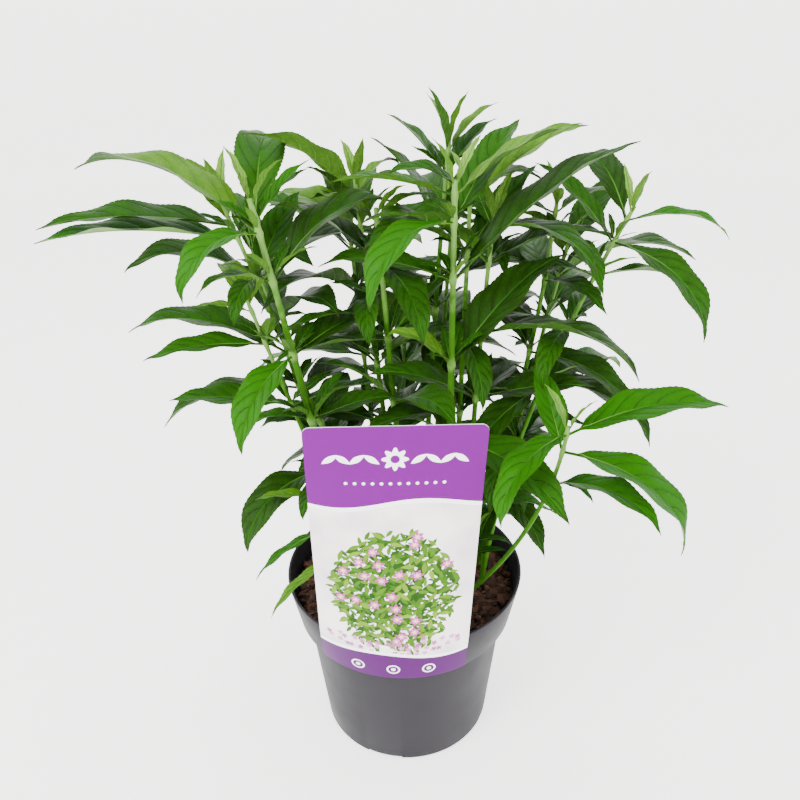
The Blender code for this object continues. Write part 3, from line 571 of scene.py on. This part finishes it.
STEMS = {
    "front": dict(foot=(30, -22), tip=(32, -25, 411), thick=6.0, gaps=(8, 15, 33, 54, 52, 55), turn=125),
    "front_left": dict(foot=(-32, -18), tip=(-79, -32, 405), thick=6.4, gaps=(12, 7, 28, 47, 45, 44),
                       turn=255),
    "left_low": dict(foot=(-30, 4), tip=(-93, -2, 338), gaps=(8, 22, 44, 52), turn=95),
    "far_left": dict(foot=(-12, 6), tip=(-106, 14, 398), gaps=(18, 8, 26, 50, 50, 50), turn=175),
    "mid_left": dict(foot=(4, 0), tip=(-12, -2, 392), thick=5.6, gaps=(8, 26, 48, 46, 46, 44), turn=60),
    "back_left": dict(foot=(0, 24), tip=(-25, 30, 402), lean=0.6, gaps=(8, 22, 46, 46, 46), turn=40),
    "top": dict(foot=(14, 10), tip=(34, 50, 424), lean=0.2, gaps=(8, 15, 29, 55, 56, 56), turn=45),
    "centre": dict(foot=(36, 10), tip=(44, 10, 400), gaps=(8, 32, 55, 55, 55), turn=50),
    "centre_right": dict(foot=(45, -2), tip=(58, 6, 385), lean=0.05, gaps=(8, 21, 45, 45, 45, 45),
                         turn=300),
    "back_right": dict(foot=(46, 26), tip=(101, 36, 386), lean=0.85, gaps=(8, 15, 29, 50, 50, 50),
                       turn=10),
    "right": dict(foot=(56, -8), tip=(146, 22, 384), lean=0.15, gaps=(8, 13, 20, 33, 40, 40, 40),
                  turn=20),
    "low_right": dict(foot=(42, -22), tip=(99, -52, 272), lean=0.9, gaps=(6, 12, 24), turn=230),
    "low_left": dict(foot=(-42, -28), tip=(-52, -38, 222), gaps=(6, 26, 25), turn=200, leaf=80, slim=0.6),
    "foot_right": dict(foot=(40, -36), tip=(44, -46, 190), gaps=(6, 12), turn=280, leaf=70),
    "back": dict(foot=(-14, 40), tip=(-34, 84, 368), gaps=(8, 15, 29, 46, 46), turn=70),
    "back_centre": dict(foot=(20, 42), tip=(40, 98, 372), gaps=(8, 15, 29, 48, 48), turn=15),
    "right_back": dict(foot=(56, 12), tip=(118, 70, 350), gaps=(8, 15, 29, 44, 44), turn=50),
    "left_back": dict(foot=(-36, 22), tip=(-100, 66, 352), gaps=(8, 15, 29, 46, 46), turn=110),
    "back_low": dict(foot=(-2, 56), tip=(4, 104, 270), gaps=(8, 15, 29, 36), turn=85),
}

# How a leaf is carried: rise where it leaves the stem, and droop from there to its tip (degrees)
CARRIAGE = {
    "upright": (78, 20),
    "raised": (52, 30),
    "arching": (52, 90),
    "slanting": (48, 26),
    "leaning": (42, 36),
    "curved": (42, 68),
    "swept": (34, 64),
    "lifted": (30, 38),
    "sloping": (28, 49),
    "bowed": (28, 78),
    "reaching": (22, 75),
    "level": (20, 35),
    "drooping": (18, 68),
    "gentle": (14, 28),
    "straight": (12, 20),
    "hanging": (12, 110),
    "flat": (10, 30),
    "dipping": (3, 92),
    "falling": (-5, 85),
    "sinking": (-16, 42),
}

# The leaves that show best, by shoot and pair: azimuth, carriage, length
SHOWN = {
    "front": {
        1: ((180, "level", 70), (0, "leaning", 77)),
        2: ((-135, "hanging", 86), (45, "raised", 78)),
        3: ((0, "slanting", 124), (165, "level", 80)),
        4: ((165, "arching", 50), (30, "raised", 96)),
    },
    "front_left": {
        1: ((90, "arching", 100), (30, "raised", 45)),
        2: ((-135, "hanging", 68), (165, "curved", 120)),
        3: ((-150, "bowed", 48), (30, "arching", 105)),
        4: ((-120, "falling", 74), (45, "level", 70)),
        5: ((-165, "bowed", 45), (15, "level", 60)),
        6: ((45, "level", 60), (-120, "hanging", 38)),
    },
    "left_low": {
        1: ((105, "arching", 60), (180, "level", 35)),
        2: ((-165, "flat", 75), (-15, "level", 65)),
        3: ((180, "straight", 80), (0, "level", 70)),
        4: ((-135, "hanging", 84), (45, "level", 70)),
    },
    "far_left": {
        1: ((-165, "gentle", 110), (135, "raised", 55)),
        2: ((-165, "gentle", 115), (15, "raised", 60)),
        3: ((-105, "hanging", 45), (60, "raised", 70)),
        4: ((180, "swept", 110), (0, "level", 60)),
        5: ((75, "level", 65), (-165, "drooping", 46)),
    },
    "mid_left": {
        1: ((135, "level", 60), (-30, "arching", 50)),
        3: ((180, "level", 80), (15, "raised", 60)),
    },
    "back_left": {
        1: ((-150, "lifted", 95), (45, "arching", 45)),
        2: ((135, "level", 90), (-15, "level", 80)),
        3: ((-120, "hanging", 60), (45, "level", 80)),
    },
    "top": {
        1: ((-150, "upright", 40), (15, "raised", 42)),
        2: ((150, "raised", 55), (30, "raised", 50)),
        3: ((165, "raised", 70), (15, "arching", 80)),
    },
    "centre": {
        1: ((15, "leaning", 86), (-165, "arching", 60)),
        2: ((15, "raised", 75), (180, "arching", 90)),
        4: ((30, "level", 90), (-165, "level", 80)),
    },
    "centre_right": {
        1: ((-60, "drooping", 84), (150, "raised", 70)),
        3: ((-30, "reaching", 110), (165, "level", 90)),
        4: ((15, "straight", 85), (180, "level", 80)),
        5: ((30, "level", 74), (180, "level", 80)),
    },
    "back_right": {
        3: ((90, "level", 80), (-60, "drooping", 60)),
        5: ((60, "level", 80), (-30, "level", 55)),
    },
    "right": {
        1: ((105, "arching", 85), (-15, "drooping", 66)),
        2: ((-45, "falling", 90), (150, "raised", 70)),
        3: ((-15, "drooping", 68), (-165, "bowed", 60)),
        4: ((60, "level", 70), (-120, "hanging", 60)),
        6: ((-120, "hanging", 62), (75, "level", 60)),
    },
    "low_right": {
        1: ((0, "sloping", 98), (-135, "hanging", 84)),
        2: ((-30, "dipping", 103), (105, "raised", 60)),
        3: ((-45, "bowed", 80), (-45, "bowed", 32)),
    },
    "foot_right": {
        1: ((0, "drooping", 28), (105, "raised", 50)),
        2: ((0, "level", 25), (180, "level", 40)),
    },
    "low_left": {
        1: ((-150, "level", 50), (30, "raised", 50)),
        2: ((-165, "sinking", 62), (15, "level", 50)),
        3: ((-150, "sinking", 60), (30, "level", 50)),
    },
}
GIVE_WAY = [(0, 0, 1.0)] + [
    (turn * way, lift * up, size)
    for size, turn, lift in ((1.0, 9, 0), (1.0, 0, 9), (0.97, 18, 0), (0.95, 12, 14), (0.92, 0, 22),
                             (0.9, 30, 8), (0.85, 24, 24), (0.8, 42, 12), (0.7, 20, 34), (0.6, 50, 30))
    for way in (1, -1)
    for up in (1, -1)
]


def compass(azimuth):
    """The level direction at an azimuth in degrees: 0 is +X, 90 is +Y."""
    return Vector((math.cos(math.radians(azimuth)), math.sin(math.radians(azimuth)), 0.0))


def stem_point(stem, height):
    """Centre of a stem at a height above the compost: a curve that leans out to its tip."""
    share = height / (stem["tip"][2] - SOIL_TOP)
    lean = stem.get("lean", 0.5)
    spread = 2 * share * (1 - share) * lean + share * share
    x, y = (foot + (tip - foot) * spread for foot, tip in zip(stem["foot"], stem["tip"]))
    return Vector((x, y, SOIL_TOP + height))


def stem_radius(stem, height):
    share = height / (stem["tip"][2] - SOIL_TOP)
    return stem.get("thick", STEM_THICKNESS) / 2 * (1 - STEM_TAPER * share)


def pair_heights(stem):
    """Heights of the leaf pairs above the compost, from the youngest down."""
    height = stem["tip"][2] - SOIL_TOP
    heights = []
    for gap in stem["gaps"]:
        height -= gap
        heights.append(height)
    return heights


def shoot_leaves(name, stem):
    """Every leaf of a shoot by the rule of growth, before it gives way to others."""
    chance = random.Random("rostrinucula " + name)
    full = stem.get("leaf", LEAF_LENGTH)
    tip = stem["tip"][2] - SOIL_TOP
    places = [(0, tip - 3.0)] + list(enumerate(pair_heights(stem), start=1))
    leaves = []
    for pair, height in places:
        size, rise, droop, width = PAIR_HABIT[min(pair, 6)]
        shown = SHOWN.get(name, {}).get(pair)
        for side in range(2):
            loose = [chance.uniform(-1, 1) for _ in range(6)]
            leaf = dict(shoot=name, pair=pair, side=side, length=full * size * (1 + 0.07 * loose[0]),
                        azimuth=stem["turn"] + 90 * (pair - 1) + 180 * side + 13 * loose[1],
                        rise=rise + 8 * loose[2], droop=droop + 14 * loose[3],
                        roll=14 * loose[4], sweep=12 * loose[5], shown=bool(shown))
            if shown:
                azimuth, carriage, length = shown[side]
                rise, droop = CARRIAGE[carriage]
                leaf.update(azimuth=azimuth, rise=rise, droop=droop, length=length, sweep=0)
            leaf["width"] = leaf["length"] * width * stem.get("slim", 1.0)
            sunk = compass(leaf["azimuth"]) * stem_radius(stem, height) * 0.5
            leaf["base"] = stem_point(stem, height) + sunk
            leaves.append(leaf)
    return leaves


def blade_half(leaf, share):
    """Half the leaf's width at a share of its length: a stalk, then a lance with a long point."""
    along = (share - PETIOLE) / (1 - PETIOLE)
    if along <= 0:
        return 0.9
    if along >= 1:
        return 0.0
    return max(0.9 * (1 - along), leaf["width"] / 2 * 3.745 * along ** 0.8 * (1 - along) ** 1.15)


def leaf_course(leaf, stations, steps=40):
    """Centre, direction, side and upward direction of the leaf at each station."""
    azimuth, rise, droop, roll, sweep = (
        math.radians(leaf[key]) for key in ("azimuth", "rise", "droop", "roll", "sweep"))
    point = Vector(leaf["base"])
    course = []
    for step in range(steps + 1):
        share = step / steps
        pitch = rise - droop * (0.35 * share + 0.65 * share * share)
        heading = azimuth + sweep * share
        level = Vector((math.cos(heading), math.sin(heading), 0.0))
        along = level * math.cos(pitch) + Vector((0.0, 0.0, math.sin(pitch)))
        side = Vector((-math.sin(heading), math.cos(heading), 0.0))
        up = along.cross(side)
        twist = roll * min(1.0, share / 0.3)
        course.append((point.copy(), along, side * math.cos(twist) + up * math.sin(twist),
                       up * math.cos(twist) - side * math.sin(twist)))
        point += along * (leaf["length"] / steps)
    return [course[round(share * steps)] for share in stations]


def leaf_solid(leaf, room=0.0, first=0):
    """A thin folded blade lofted through lozenge sections, with the given room round it."""
    stations = BUD_STATIONS if leaf["pair"] < 1 else LEAF_STATIONS
    stations = stations[first:]
    thick = max(LEAF_THICKNESS * leaf["length"], 1.0) / 2
    fold = math.tan(math.radians(LEAF_FOLD))
    verts = []
    for share, (point, along, side, up) in zip(stations, leaf_course(leaf, stations)):
        if share == 1.0:
            verts.append(point + along * room)
            continue
        half = blade_half(leaf, share)
        lift = up * half * fold if share > PETIOLE else Vector()
        deep = thick + room
        verts += [point + side * (half + room) + lift, point + up * deep,
                  point - side * (half + room) + lift, point - up * deep]
    faces = [(0, 1, 2), (0, 2, 3)]
    last = len(stations) - 2
    for row in range(last):
        for corner in range(4):
            a, b = 4 * row + corner, 4 * row + (corner + 1) % 4
            faces += [(a, a + 4, b + 4), (a, b + 4, b)]
    tip = 4 * (last + 1)
    faces += [(4 * last + corner, tip, 4 * last + (corner + 1) % 4) for corner in range(4)]
    return verts, faces


def stem_solid(stem, low, high, rings, room=0.0, sides=5):
    """A tapering tube along the stem between two heights above the compost."""
    verts = []
    for ring in range(rings + 1):
        height = low + (high - low) * ring / rings
        centre = stem_point(stem, height)
        radius = stem_radius(stem, height) + room
        for corner in range(sides):
            angle = math.tau * corner / sides
            verts.append(centre + Vector((math.cos(angle), math.sin(angle), 0)) * radius)
    faces = [tuple(range(sides))[::-1], tuple(range(rings * sides, (rings + 1) * sides))]
    for ring in range(rings):
        for corner in range(sides):
            a, b = ring * sides + corner, ring * sides + (corner + 1) % sides
            faces.append((a, b, b + sides, a + sides))
    return verts, faces


def tree_of(solid):
    return BVHTree.FromPolygons([Vector(v) for v in solid[0]], solid[1])


def stands_clear(verts):
    """Whether a leaf stays above the compost and off the pot's rim."""
    for point in verts:
        reach = math.hypot(point[0], point[1])
        if point[2] < SOIL_TOP + LEAF_ROOM and reach < RIM_RADIUS + LEAF_ROOM + 3:
            return False
        if point[2] < POT_HEIGHT + LEAF_ROOM and RIM_RADIUS - 6 < reach < RIM_RADIUS + 5:
            return False
    return True


def axil_leaves(grown):
    """Small steep leaves of the resting side shoots, one to either side above each older leaf."""
    chance = random.Random("axils")
    small = []
    for leaf in grown:
        if leaf["pair"] < AXIL_FROM or leaf["shoot"] in ("low_right", "low_left", "foot_right"):
            continue
        for way in (-1, 1):
            length = chance.uniform(*AXIL_LENGTH)
            small.append(dict(leaf, length=length, width=length * 0.27, shown=False, side=2, roll=chance.uniform(-20, 20),
                              azimuth=leaf["azimuth"] + way * chance.uniform(18, 60), sweep=chance.uniform(-12, 12),
                              rise=chance.uniform(30, 62), droop=chance.uniform(10, 60),
                              base=leaf["base"] + Vector((0, 0, chance.uniform(1.5, 4.0)))))
    return small


def place_leaves(obstacles):
    """Settle every leaf clear of the other shoots. One that finds no room is left off."""
    limbs = {name: tree_of(stem_solid(stem, -2.0, stem["tip"][2] - SOIL_TOP, 12, FLESH))
             for name, stem in STEMS.items()}
    grown = [leaf for name, stem in STEMS.items() for leaf in shoot_leaves(name, stem)]
    grown.sort(key=lambda leaf: -1 if leaf["shown"] else leaf["pair"])
    grown += axil_leaves(grown)
    settled = []
    for leaf in grown:
        for turn, lift, size in GIVE_WAY:
            trial = dict(leaf, azimuth=leaf["azimuth"] + turn, rise=leaf["rise"] + lift,
                         length=leaf["length"] * size, width=leaf["width"] * size)
            whole = leaf_solid(trial, FLESH / 2)
            tree, blade = tree_of(whole), tree_of(leaf_solid(trial, FLESH / 2, first=2))
            middle = sum(whole[0], Vector()) / len(whole[0])
            span = trial["length"] * 0.62
            if not stands_clear(whole[0]) or any(tree.overlap(thing) for thing in obstacles):
                continue
            own = leaf["shoot"]
            if any((blade if name == own else tree).overlap(limb) for name, limb in limbs.items()):
                continue
            near = [entry for entry in settled if (middle - entry[3]).length < span + entry[4]]
            if any(blade.overlap(entry[2]) if entry[0]["shoot"] == own else tree.overlap(entry[1])
                   for entry in near):
                continue
            settled.append((trial, tree, blade, middle, span))
            break
    return [entry[0] for entry in settled]


solid_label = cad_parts["label"].data
LEAVES = place_leaves([BVHTree.FromPolygons([v.co / MM for v in solid_label.vertices],
                                            [tuple(f.vertices) for f in solid_label.polygons])])


# Stems. Young green stems of the mint family: four-angled with soft corners, swollen where a
# leaf pair sits, covered near the tip with a pale felt that wears off lower down.
STEM_SIDES = 16
STEM_BARE = 0.82                # share of the room kept for a stem that it fills
RING_GAP = 2.4
NODE_SWELLING = 0.45
NODE_REACH = 2.6
ANGLE_DEPTH = 0.07

FELT_END = 82.0                 # how far below the tip the felt has worn off
FELT_FULL = 0.25                # the share of that where it covers the stem

stem_finish, stem_shader = finish_of("young_felted_stem", "356A06", 0.6, Sheen_Weight=0.05, Sheen_Roughness=0.5,
                                     Specular_IOR_Level=0.06)
tree = stem_finish.node_tree
place = node(tree, "TexCoord")
felted = node(tree, "Attribute", attribute_name="felt")
patch = node(tree, "TexNoise", {"Vector": place.outputs["Object"]}, Scale=1 / (6 * MM), Detail=4.0)
worn = calc(tree, "ADD", felted.outputs["Fac"], ramp(tree, patch.outputs["Fac"], 0.3, 0.7, -0.35, 0.15))
green = over(tree, over(tree, "285200", patch.outputs["Fac"], "356806"), ramp(tree, worn, 0.0, 1.0), "6E9646")
tree.links.new(green, stem_shader.inputs["Base Color"])
fine = node(tree, "TexNoise", {"Vector": place.outputs["Object"]}, Scale=1 / (0.8 * MM), Detail=3.0)
bump = node(tree, "Bump", {"Height": fine.outputs["Fac"]}, Strength=0.35, Distance=0.0002)
tree.links.new(bump.outputs["Normal"], stem_shader.inputs["Normal"])

for name, stem in STEMS.items():
    tip = stem["tip"][2] - SOIL_TOP
    rings = round(tip / RING_GAP)
    verts, felt = [], []
    for ring in range(rings + 1):
        height = SEAT + (tip - SEAT) * ring / rings
        worn_by = min(FELT_END, 0.35 * tip)
        young = (worn_by - (tip - height)) / (worn_by * (1 - FELT_FULL))
        joint = max(math.exp(-((height - at) / (1.2 * NODE_REACH)) ** 2) for at in pair_heights(stem))
        felt += [min(1.0, max(0.0, young, 0.7 * joint))] * STEM_SIDES
        swell = 1 + NODE_SWELLING * max(math.exp(-((height - at) / NODE_REACH) ** 2) for at in pair_heights(stem))
        radius = stem_radius(stem, height) * STEM_BARE * swell
        for corner in range(STEM_SIDES):
            angle = math.tau * corner / STEM_SIDES
            angled = radius * (1 + ANGLE_DEPTH * math.cos(4 * (angle - math.radians(stem["turn"] + 45))))
            verts.append(stem_point(stem, height) + Vector((math.cos(angle), math.sin(angle), 0)) * angled)
    faces = [tuple(range(STEM_SIDES))[::-1], tuple(range(rings * STEM_SIDES, (rings + 1) * STEM_SIDES))]
    for ring in range(rings):
        for corner in range(STEM_SIDES):
            a, b = ring * STEM_SIDES + corner, ring * STEM_SIDES + (corner + 1) % STEM_SIDES
            faces.append((a, b, b + STEM_SIDES, a + STEM_SIDES))
    limb = mesh_piece("limb_" + name, verts, faces)
    limb.data.attributes.new("felt", "FLOAT", "POINT").data.foreach_set("value", felt)
    activate(limb)
    bpy.ops.object.shade_smooth_by_angle(angle=math.radians(60))
    limb.data.materials.append(stem_finish)
    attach(limb, "root")
    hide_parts("stem_" + name)


# Leaves. Lance-shaped, finely toothed and drawn out to a long point, with a thin pale midrib and
# arching veins sunken between soft quilts. The blade is satin above and matt with felt below, and
# the youngest are felted all over. Each shoot's leaves are joined into one piece.
TOOTH_GAP = 3.2
TOOTH_DEPTH = 0.55
TOOTH_PEAK = 0.72               # where in its gap a tooth points
BLADE_THICKNESS = 0.35
MIDRIB_HALF = 0.42              # half the width of the bare midrib
MIDRIB_GROOVE = 0.4
MIDRIB_KEEL = 0.9
VEINS = 7
VEIN_SLANT = 0.27               # share of the blade that a vein runs forward on its way out
WAVE_HEIGHT = 1.3
CURL = 3.5                      # how far a tip strays to its side
RIB = 0.05                      # stands for the midrib's edge among the columns
UPPER_COLUMNS = (-1, -0.93, -0.74, -0.5, -0.26, -0.11, -RIB, 0, RIB, 0.11, 0.26, 0.5, 0.74, 0.93, 1)
UNDER_COLUMNS = (0.72, 0.34, RIB, 0, -RIB, -0.34, -0.72)

# How light the leaves of a spray are, from 0 to 1: painted light on the sprays in the open and painted shade on the
# hidden ones; and the leaves that catch the light, given painted light
SPRAY_PAINTED_LIGHT = {"front": 0.55, "front_left": 0.5, "low_right": 0.62, "low_left": 0.45, "left_low": 0.42,
               "far_left": 0.42, "right": 0.45, "top": 0.45, "back_left": 0.4, "mid_left": 0.35}
HIDDEN_PAINTED_SHADE = 0.28
SLENDER = {"right": 0.8, "back_right": 0.85, "left_low": 0.92, "top": 1.3, ("low_left", 1): 1.2,
           ("low_left", 2): 0.7, ("low_left", 3): 0.7}       # share of the full width, by shoot or by pair
# Leaves given a dark tone as painted shade
SHADED = {("front", 4, 1), ("front", 3, 0), ("front_left", 3, 1), ("centre_right", 3, 0), ("right", 1, 0),
          ("left_low", 4, 0), ("back_right", 5, 1), ("front_left", 4, 1), ("centre_right", 4, 0)}
PALE = {("front", 1, 1), ("front", 4, 0), ("front_left", 2, 1), ("centre", 1, 0), ("left_low", 1, 0),
        ("left_low", 1, 1), ("low_left", 1, 0), ("low_left", 3, 0), ("top", 1, 0), ("top", 1, 1), ("back_left", 2, 0),
        ("mid_left", 1, 0), ("far_left", 1, 1), ("back_left", 1, 1)}
# Leaves that catch the light, given a light tone as painted light
PAINTED_LIGHT_LEAVES = {("front", 2, 0), ("front_left", 2, 0), ("front_left", 4, 0), ("low_right", 1, 1),
          ("low_right", 1, 0), ("low_right", 2, 0), ("low_right", 2, 1), ("right", 1, 1), ("far_left", 2, 0)}


def blade_finish(name, greens, groove, vein_colour, **sockets):
    """Living leaf, its greens from the darkest leaf to the lightest, with veins arching forward. Shade is painted
    along the sunken veins and in the hollows of the fine relief, and light on its tops.
    """
    shade, shader = finish_of(name, greens[1], 0.45, **sockets)
    tree = shade.node_tree
    own = node(tree, "Attribute", attribute_name="blade")
    across, along, tone = node(tree, "SeparateXYZ", {"Vector": own.outputs["Vector"]}).outputs
    place = node(tree, "TexCoord").outputs["Object"]
    out = calc(tree, "ABSOLUTE", across)
    ahead = calc(tree, "MULTIPLY", calc(tree, "POWER", out, 1.5), VEIN_SLANT * VEINS)
    other_side = calc(tree, "MULTIPLY", calc(tree, "GREATER_THAN", across, 0.0), 0.42)
    row = calc(tree, "ADD", calc(tree, "SUBTRACT", calc(tree, "MULTIPLY", along, VEINS), ahead), other_side)
    gap = calc(tree, "ABSOLUTE", calc(tree, "SUBTRACT", calc(tree, "FRACT", row), 0.5))
    inner = ramp(tree, out, 1.0, 0.72)
    vein = calc(tree, "MULTIPLY", ramp(tree, gap, 0.44, 0.5), inner)
    mottle = node(tree, "TexNoise", {"Vector": place}, Scale=1 / (14 * MM), Detail=3.0)
    light = calc(tree, "ADD", tone, ramp(tree, mottle.outputs["Fac"], 0.3, 0.7, -0.1, 0.1))
    # Painted shade: the colour darkens towards the veins, where the upper skins' quilts sink into their grooves
    light = calc(tree, "SUBTRACT", light, calc(tree, "MULTIPLY", gap, 0.34))
    pebble = node(tree, "TexVoronoi", {"Vector": place}, feature="SMOOTH_F1", Scale=1 / (1.7 * MM))
    # Painted light on the tops of the fine pebbled relief and painted shade in its hollows
    light = calc(tree, "ADD", light, ramp(tree, pebble.outputs["Distance"], 0.1, 0.7, 0.14, -0.06))
    dark_half = over(tree, greens[0], ramp(tree, light, 0.0, 0.5), greens[1])
    green = over(tree, dark_half, ramp(tree, light, 0.5, 1.0), greens[2])
    # The veins' colour: painted shade in the sunken veins of the upper and young skins, and pale on the underside's
    # raised veins
    green = over(tree, green, calc(tree, "MULTIPLY", vein, 0.6), vein_colour)
    green = over(tree, green, ramp(tree, out, 0.93, 1.0, 0.0, 0.55), "3A2F1A")
    green = over(tree, green, ramp(tree, along, 0.93, 1.0, 0.0, 0.8), "3C2A1A")
    tree.links.new(green, shader.inputs["Base Color"])
    quilt = calc(tree, "MULTIPLY", calc(tree, "MULTIPLY", calc(tree, "MULTIPLY", gap, gap), inner), -2.6 * groove)
    sunk = calc(tree, "MULTIPLY_ADD", vein, -0.5 * groove, quilt)
    relief = calc(tree, "MULTIPLY_ADD", pebble.outputs["Distance"], -0.16, sunk)
    bump = node(tree, "Bump", {"Height": relief}, Strength=1.0, Distance=MM)
    tree.links.new(bump.outputs["Normal"], shader.inputs["Normal"])
    rough = ramp(tree, mottle.outputs["Fac"], 0.3, 0.7, 0.4, 0.52)
    tree.links.new(rough, shader.inputs["Roughness"])
    return shade


def rib_finish(name):
    """The bare rib: felted and pale in the leaf stalk, green like the blade further out."""
    shade, shader = finish_of(name, "2A640E", 0.5, Specular_IOR_Level=0.06)
    tree = shade.node_tree
    own = node(tree, "Attribute", attribute_name="blade")
    along = node(tree, "SeparateXYZ", {"Vector": own.outputs["Vector"]}).outputs["Y"]
    tree.links.new(over(tree, "64903A", ramp(tree, along, 0.0, 0.45), "265C0A"), shader.inputs["Base Color"])
    return shade


# The dark vein colours of the upper and young skins are painted shade; the underside's pale one is its own colour
SKINS = [
    blade_finish("satin_leaf_upper", ("193206", "1F4A05", "205A00"), 0.42, "0D2A04", Specular_IOR_Level=0.06),
    blade_finish("felted_young_leaf", ("3B6208", "547F20", "789E46"), 0.3, "2C620C", Specular_IOR_Level=0.06),
    blade_finish("matt_leaf_underside", ("2B4C18", "40661E", "588028"), -0.3, "64883C", Specular_IOR_Level=0.05),
    rib_finish("pale_midrib"),
]
UPPER_SKIN, YOUNG_SKIN, UNDER_SKIN, RIB_SKIN = range(4)


def fine_leaf(leaf, chance):
    """Points of one leaf, their places on the blade, its faces and each face's skin."""
    course = leaf_course(leaf, [i / 40 for i in range(41)])
    knots = np.linspace(0, 1, 41)
    centre, along, side, up = (np.array([[c for c in row[k]] for row in course]) for k in range(4))
    teeth = max(5, round(leaf["length"] * (1 - PETIOLE) / TOOTH_GAP))
    blade = sorted([k / teeth for k in range(teeth)] + [(k + TOOTH_PEAK) / teeth for k in range(teeth)])
    share = np.array([0, 0.03, 0.06] + [PETIOLE + (1 - PETIOLE) * b for b in blade] + [0.999])
    centre, side, up = (np.stack([np.interp(share, knots, a[:, k]) for k in range(3)], -1) for a in (centre, side, up))
    blade_share = np.clip((share - PETIOLE) / (1 - PETIOLE), 0, 1)
    size = min(1.0, leaf["length"] / LEAF_LENGTH)
    stray = np.clip((share - 0.7) / 0.3, 0, 1)[:, None] ** 2 * size
    centre += side * chance.uniform(-CURL, CURL) * stray - up * chance.uniform(-0.3, 1.0) * CURL * stray
    half = np.array([blade_half(leaf, s) for s in share])
    half *= SLENDER.get((leaf["shoot"], leaf["pair"]), SLENDER.get(leaf["shoot"], 0.96))
    half *= 1 - 0.14 * np.sin(math.pi * np.clip((blade_share - 0.8) / 0.2, 0, 1))
    half = np.maximum(half, (0.5 + 0.75 * size) * (1 - blade_share / 0.05))
    toothed = np.zeros(len(share))
    toothed[3:-1][1::2] = TOOTH_DEPTH * size
    half += toothed * np.clip(blade_share * 8, 0, 1) * np.clip((1 - blade_share) * 6, 0, 1)
    on_blade = np.clip(blade_share / 0.06, 0, 1)
    fold = math.tan(math.radians(LEAF_FOLD))
    phase = [chance.uniform(0, math.tau) for _ in range(2)]
    calm = WAVE_HEIGHT * size * on_blade * np.clip(half / (3.5 * size), 0, 1) ** 2
    rib = np.minimum(MIDRIB_HALF * size ** 0.5 / half, 0.3)
    rows, places = [], []
    # The leaf's tone: painted light on the sprays in the open and painted shade on the hidden ones, paler for the
    # younger pairs, with a random spread
    tone = SPRAY_PAINTED_LIGHT.get(leaf["shoot"], HIDDEN_PAINTED_SHADE) + 0.1 * (3 - min(leaf["pair"], 5)) / 2
    tone += chance.uniform(-0.2, 0.2)
    pale = leaf["pair"] == 0 or (leaf["shoot"], leaf["pair"], leaf["side"]) in PALE
    if pale:
        tone = 0.75 if leaf["pair"] == 0 else 0.18 + chance.uniform(-0.12, 0.12)
    # Painted light on the leaves that catch it, and painted shade on the SHADED leaves below
    if (leaf["shoot"], leaf["pair"], leaf["side"]) in PAINTED_LIGHT_LEAVES:
        tone = 0.9
    if (leaf["shoot"], leaf["pair"], leaf["side"]) in SHADED:
        tone = 0.15
    for u, upper in [(u, True) for u in UPPER_COLUMNS] + [(u, False) for u in UNDER_COLUMNS]:
        a = np.full(len(share), abs(float(u)))
        if abs(u) == RIB:
            a = rib
        lift = half * fold * a * (1.35 - 0.35 * a) * on_blade
        lift += calm * a ** 2 * np.sin(math.tau * 3.1 * share + phase[u > 0])
        body = BLADE_THICKNESS * size * np.sqrt(1 - a * a) / 2
        if upper:
            lift += body - (MIDRIB_GROOVE * size * on_blade if u == 0 else 0)
            lift += (1 - on_blade) * half * 0.5 * np.sqrt(1 - a * a)
        else:
            keel = MIDRIB_KEEL * size * (1 - 0.8 * share)
            lift -= body + (keel if u == 0 else keel * 0.55 if abs(u) == RIB else 0)
        rows.append(centre + side * (math.copysign(1, u) * a * half)[:, None] + up * lift[:, None])
        places.append(np.stack([math.copysign(1, u) * a, blade_share, np.full(len(share), tone)], -1))
    around, count = len(rows), len(share)
    ring = np.arange(around)
    a = (np.arange(count - 1)[:, None] * around + ring).ravel()
    b = (np.arange(count - 1)[:, None] * around + (ring + 1) % around).ravel()
    faces = np.stack([a, b, b + around, a + around], -1).tolist()
    faces += [list(range(around))[::-1], list(range((count - 1) * around, count * around))]
    skin = np.full(around, YOUNG_SKIN if pale else UPPER_SKIN)
    skin[len(UPPER_COLUMNS) - 1:] = UNDER_SKIN
    for i, (u, v) in enumerate(zip(UPPER_COLUMNS, UPPER_COLUMNS[1:])):
        if max(abs(u), abs(v)) <= RIB:
            skin[i] = RIB_SKIN
    skins = np.tile(skin, count - 1).tolist() + [UNDER_SKIN, UNDER_SKIN]
    return np.stack(rows, 1).reshape(-1, 3), np.stack(places, 1).reshape(-1, 3), faces, skins


for name, stem in STEMS.items():
    verts, places, faces, skins = [], [], [], []
    chance = random.Random("leaves of " + name)
    base = 0
    for leaf in (leaf for leaf in LEAVES if leaf["shoot"] == name):
        points, spots, polygons, kinds = fine_leaf(leaf, chance)
        verts.append(points)
        places.append(spots)
        faces += [[corner + base for corner in face] for face in polygons]
        skins += kinds
        base += len(points)
    spray = mesh_piece("leaves_" + name, np.concatenate(verts).tolist(), faces)
    blade = spray.data.attributes.new("blade", "FLOAT_VECTOR", "POINT")
    blade.data.foreach_set("vector", np.concatenate(places).ravel())
    for skin in SKINS:
        spray.data.materials.append(skin)
    spray.data.polygons.foreach_set("material_index", skins)
    activate(spray)
    bpy.ops.object.mode_set(mode="EDIT")
    bpy.ops.mesh.select_all(action="SELECT")
    bpy.ops.mesh.normals_make_consistent(inside=False)
    bpy.ops.object.mode_set(mode="OBJECT")
    bpy.ops.object.shade_smooth_by_angle(angle=math.radians(50))
    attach(spray, "root")
    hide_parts("foliage_" + name)
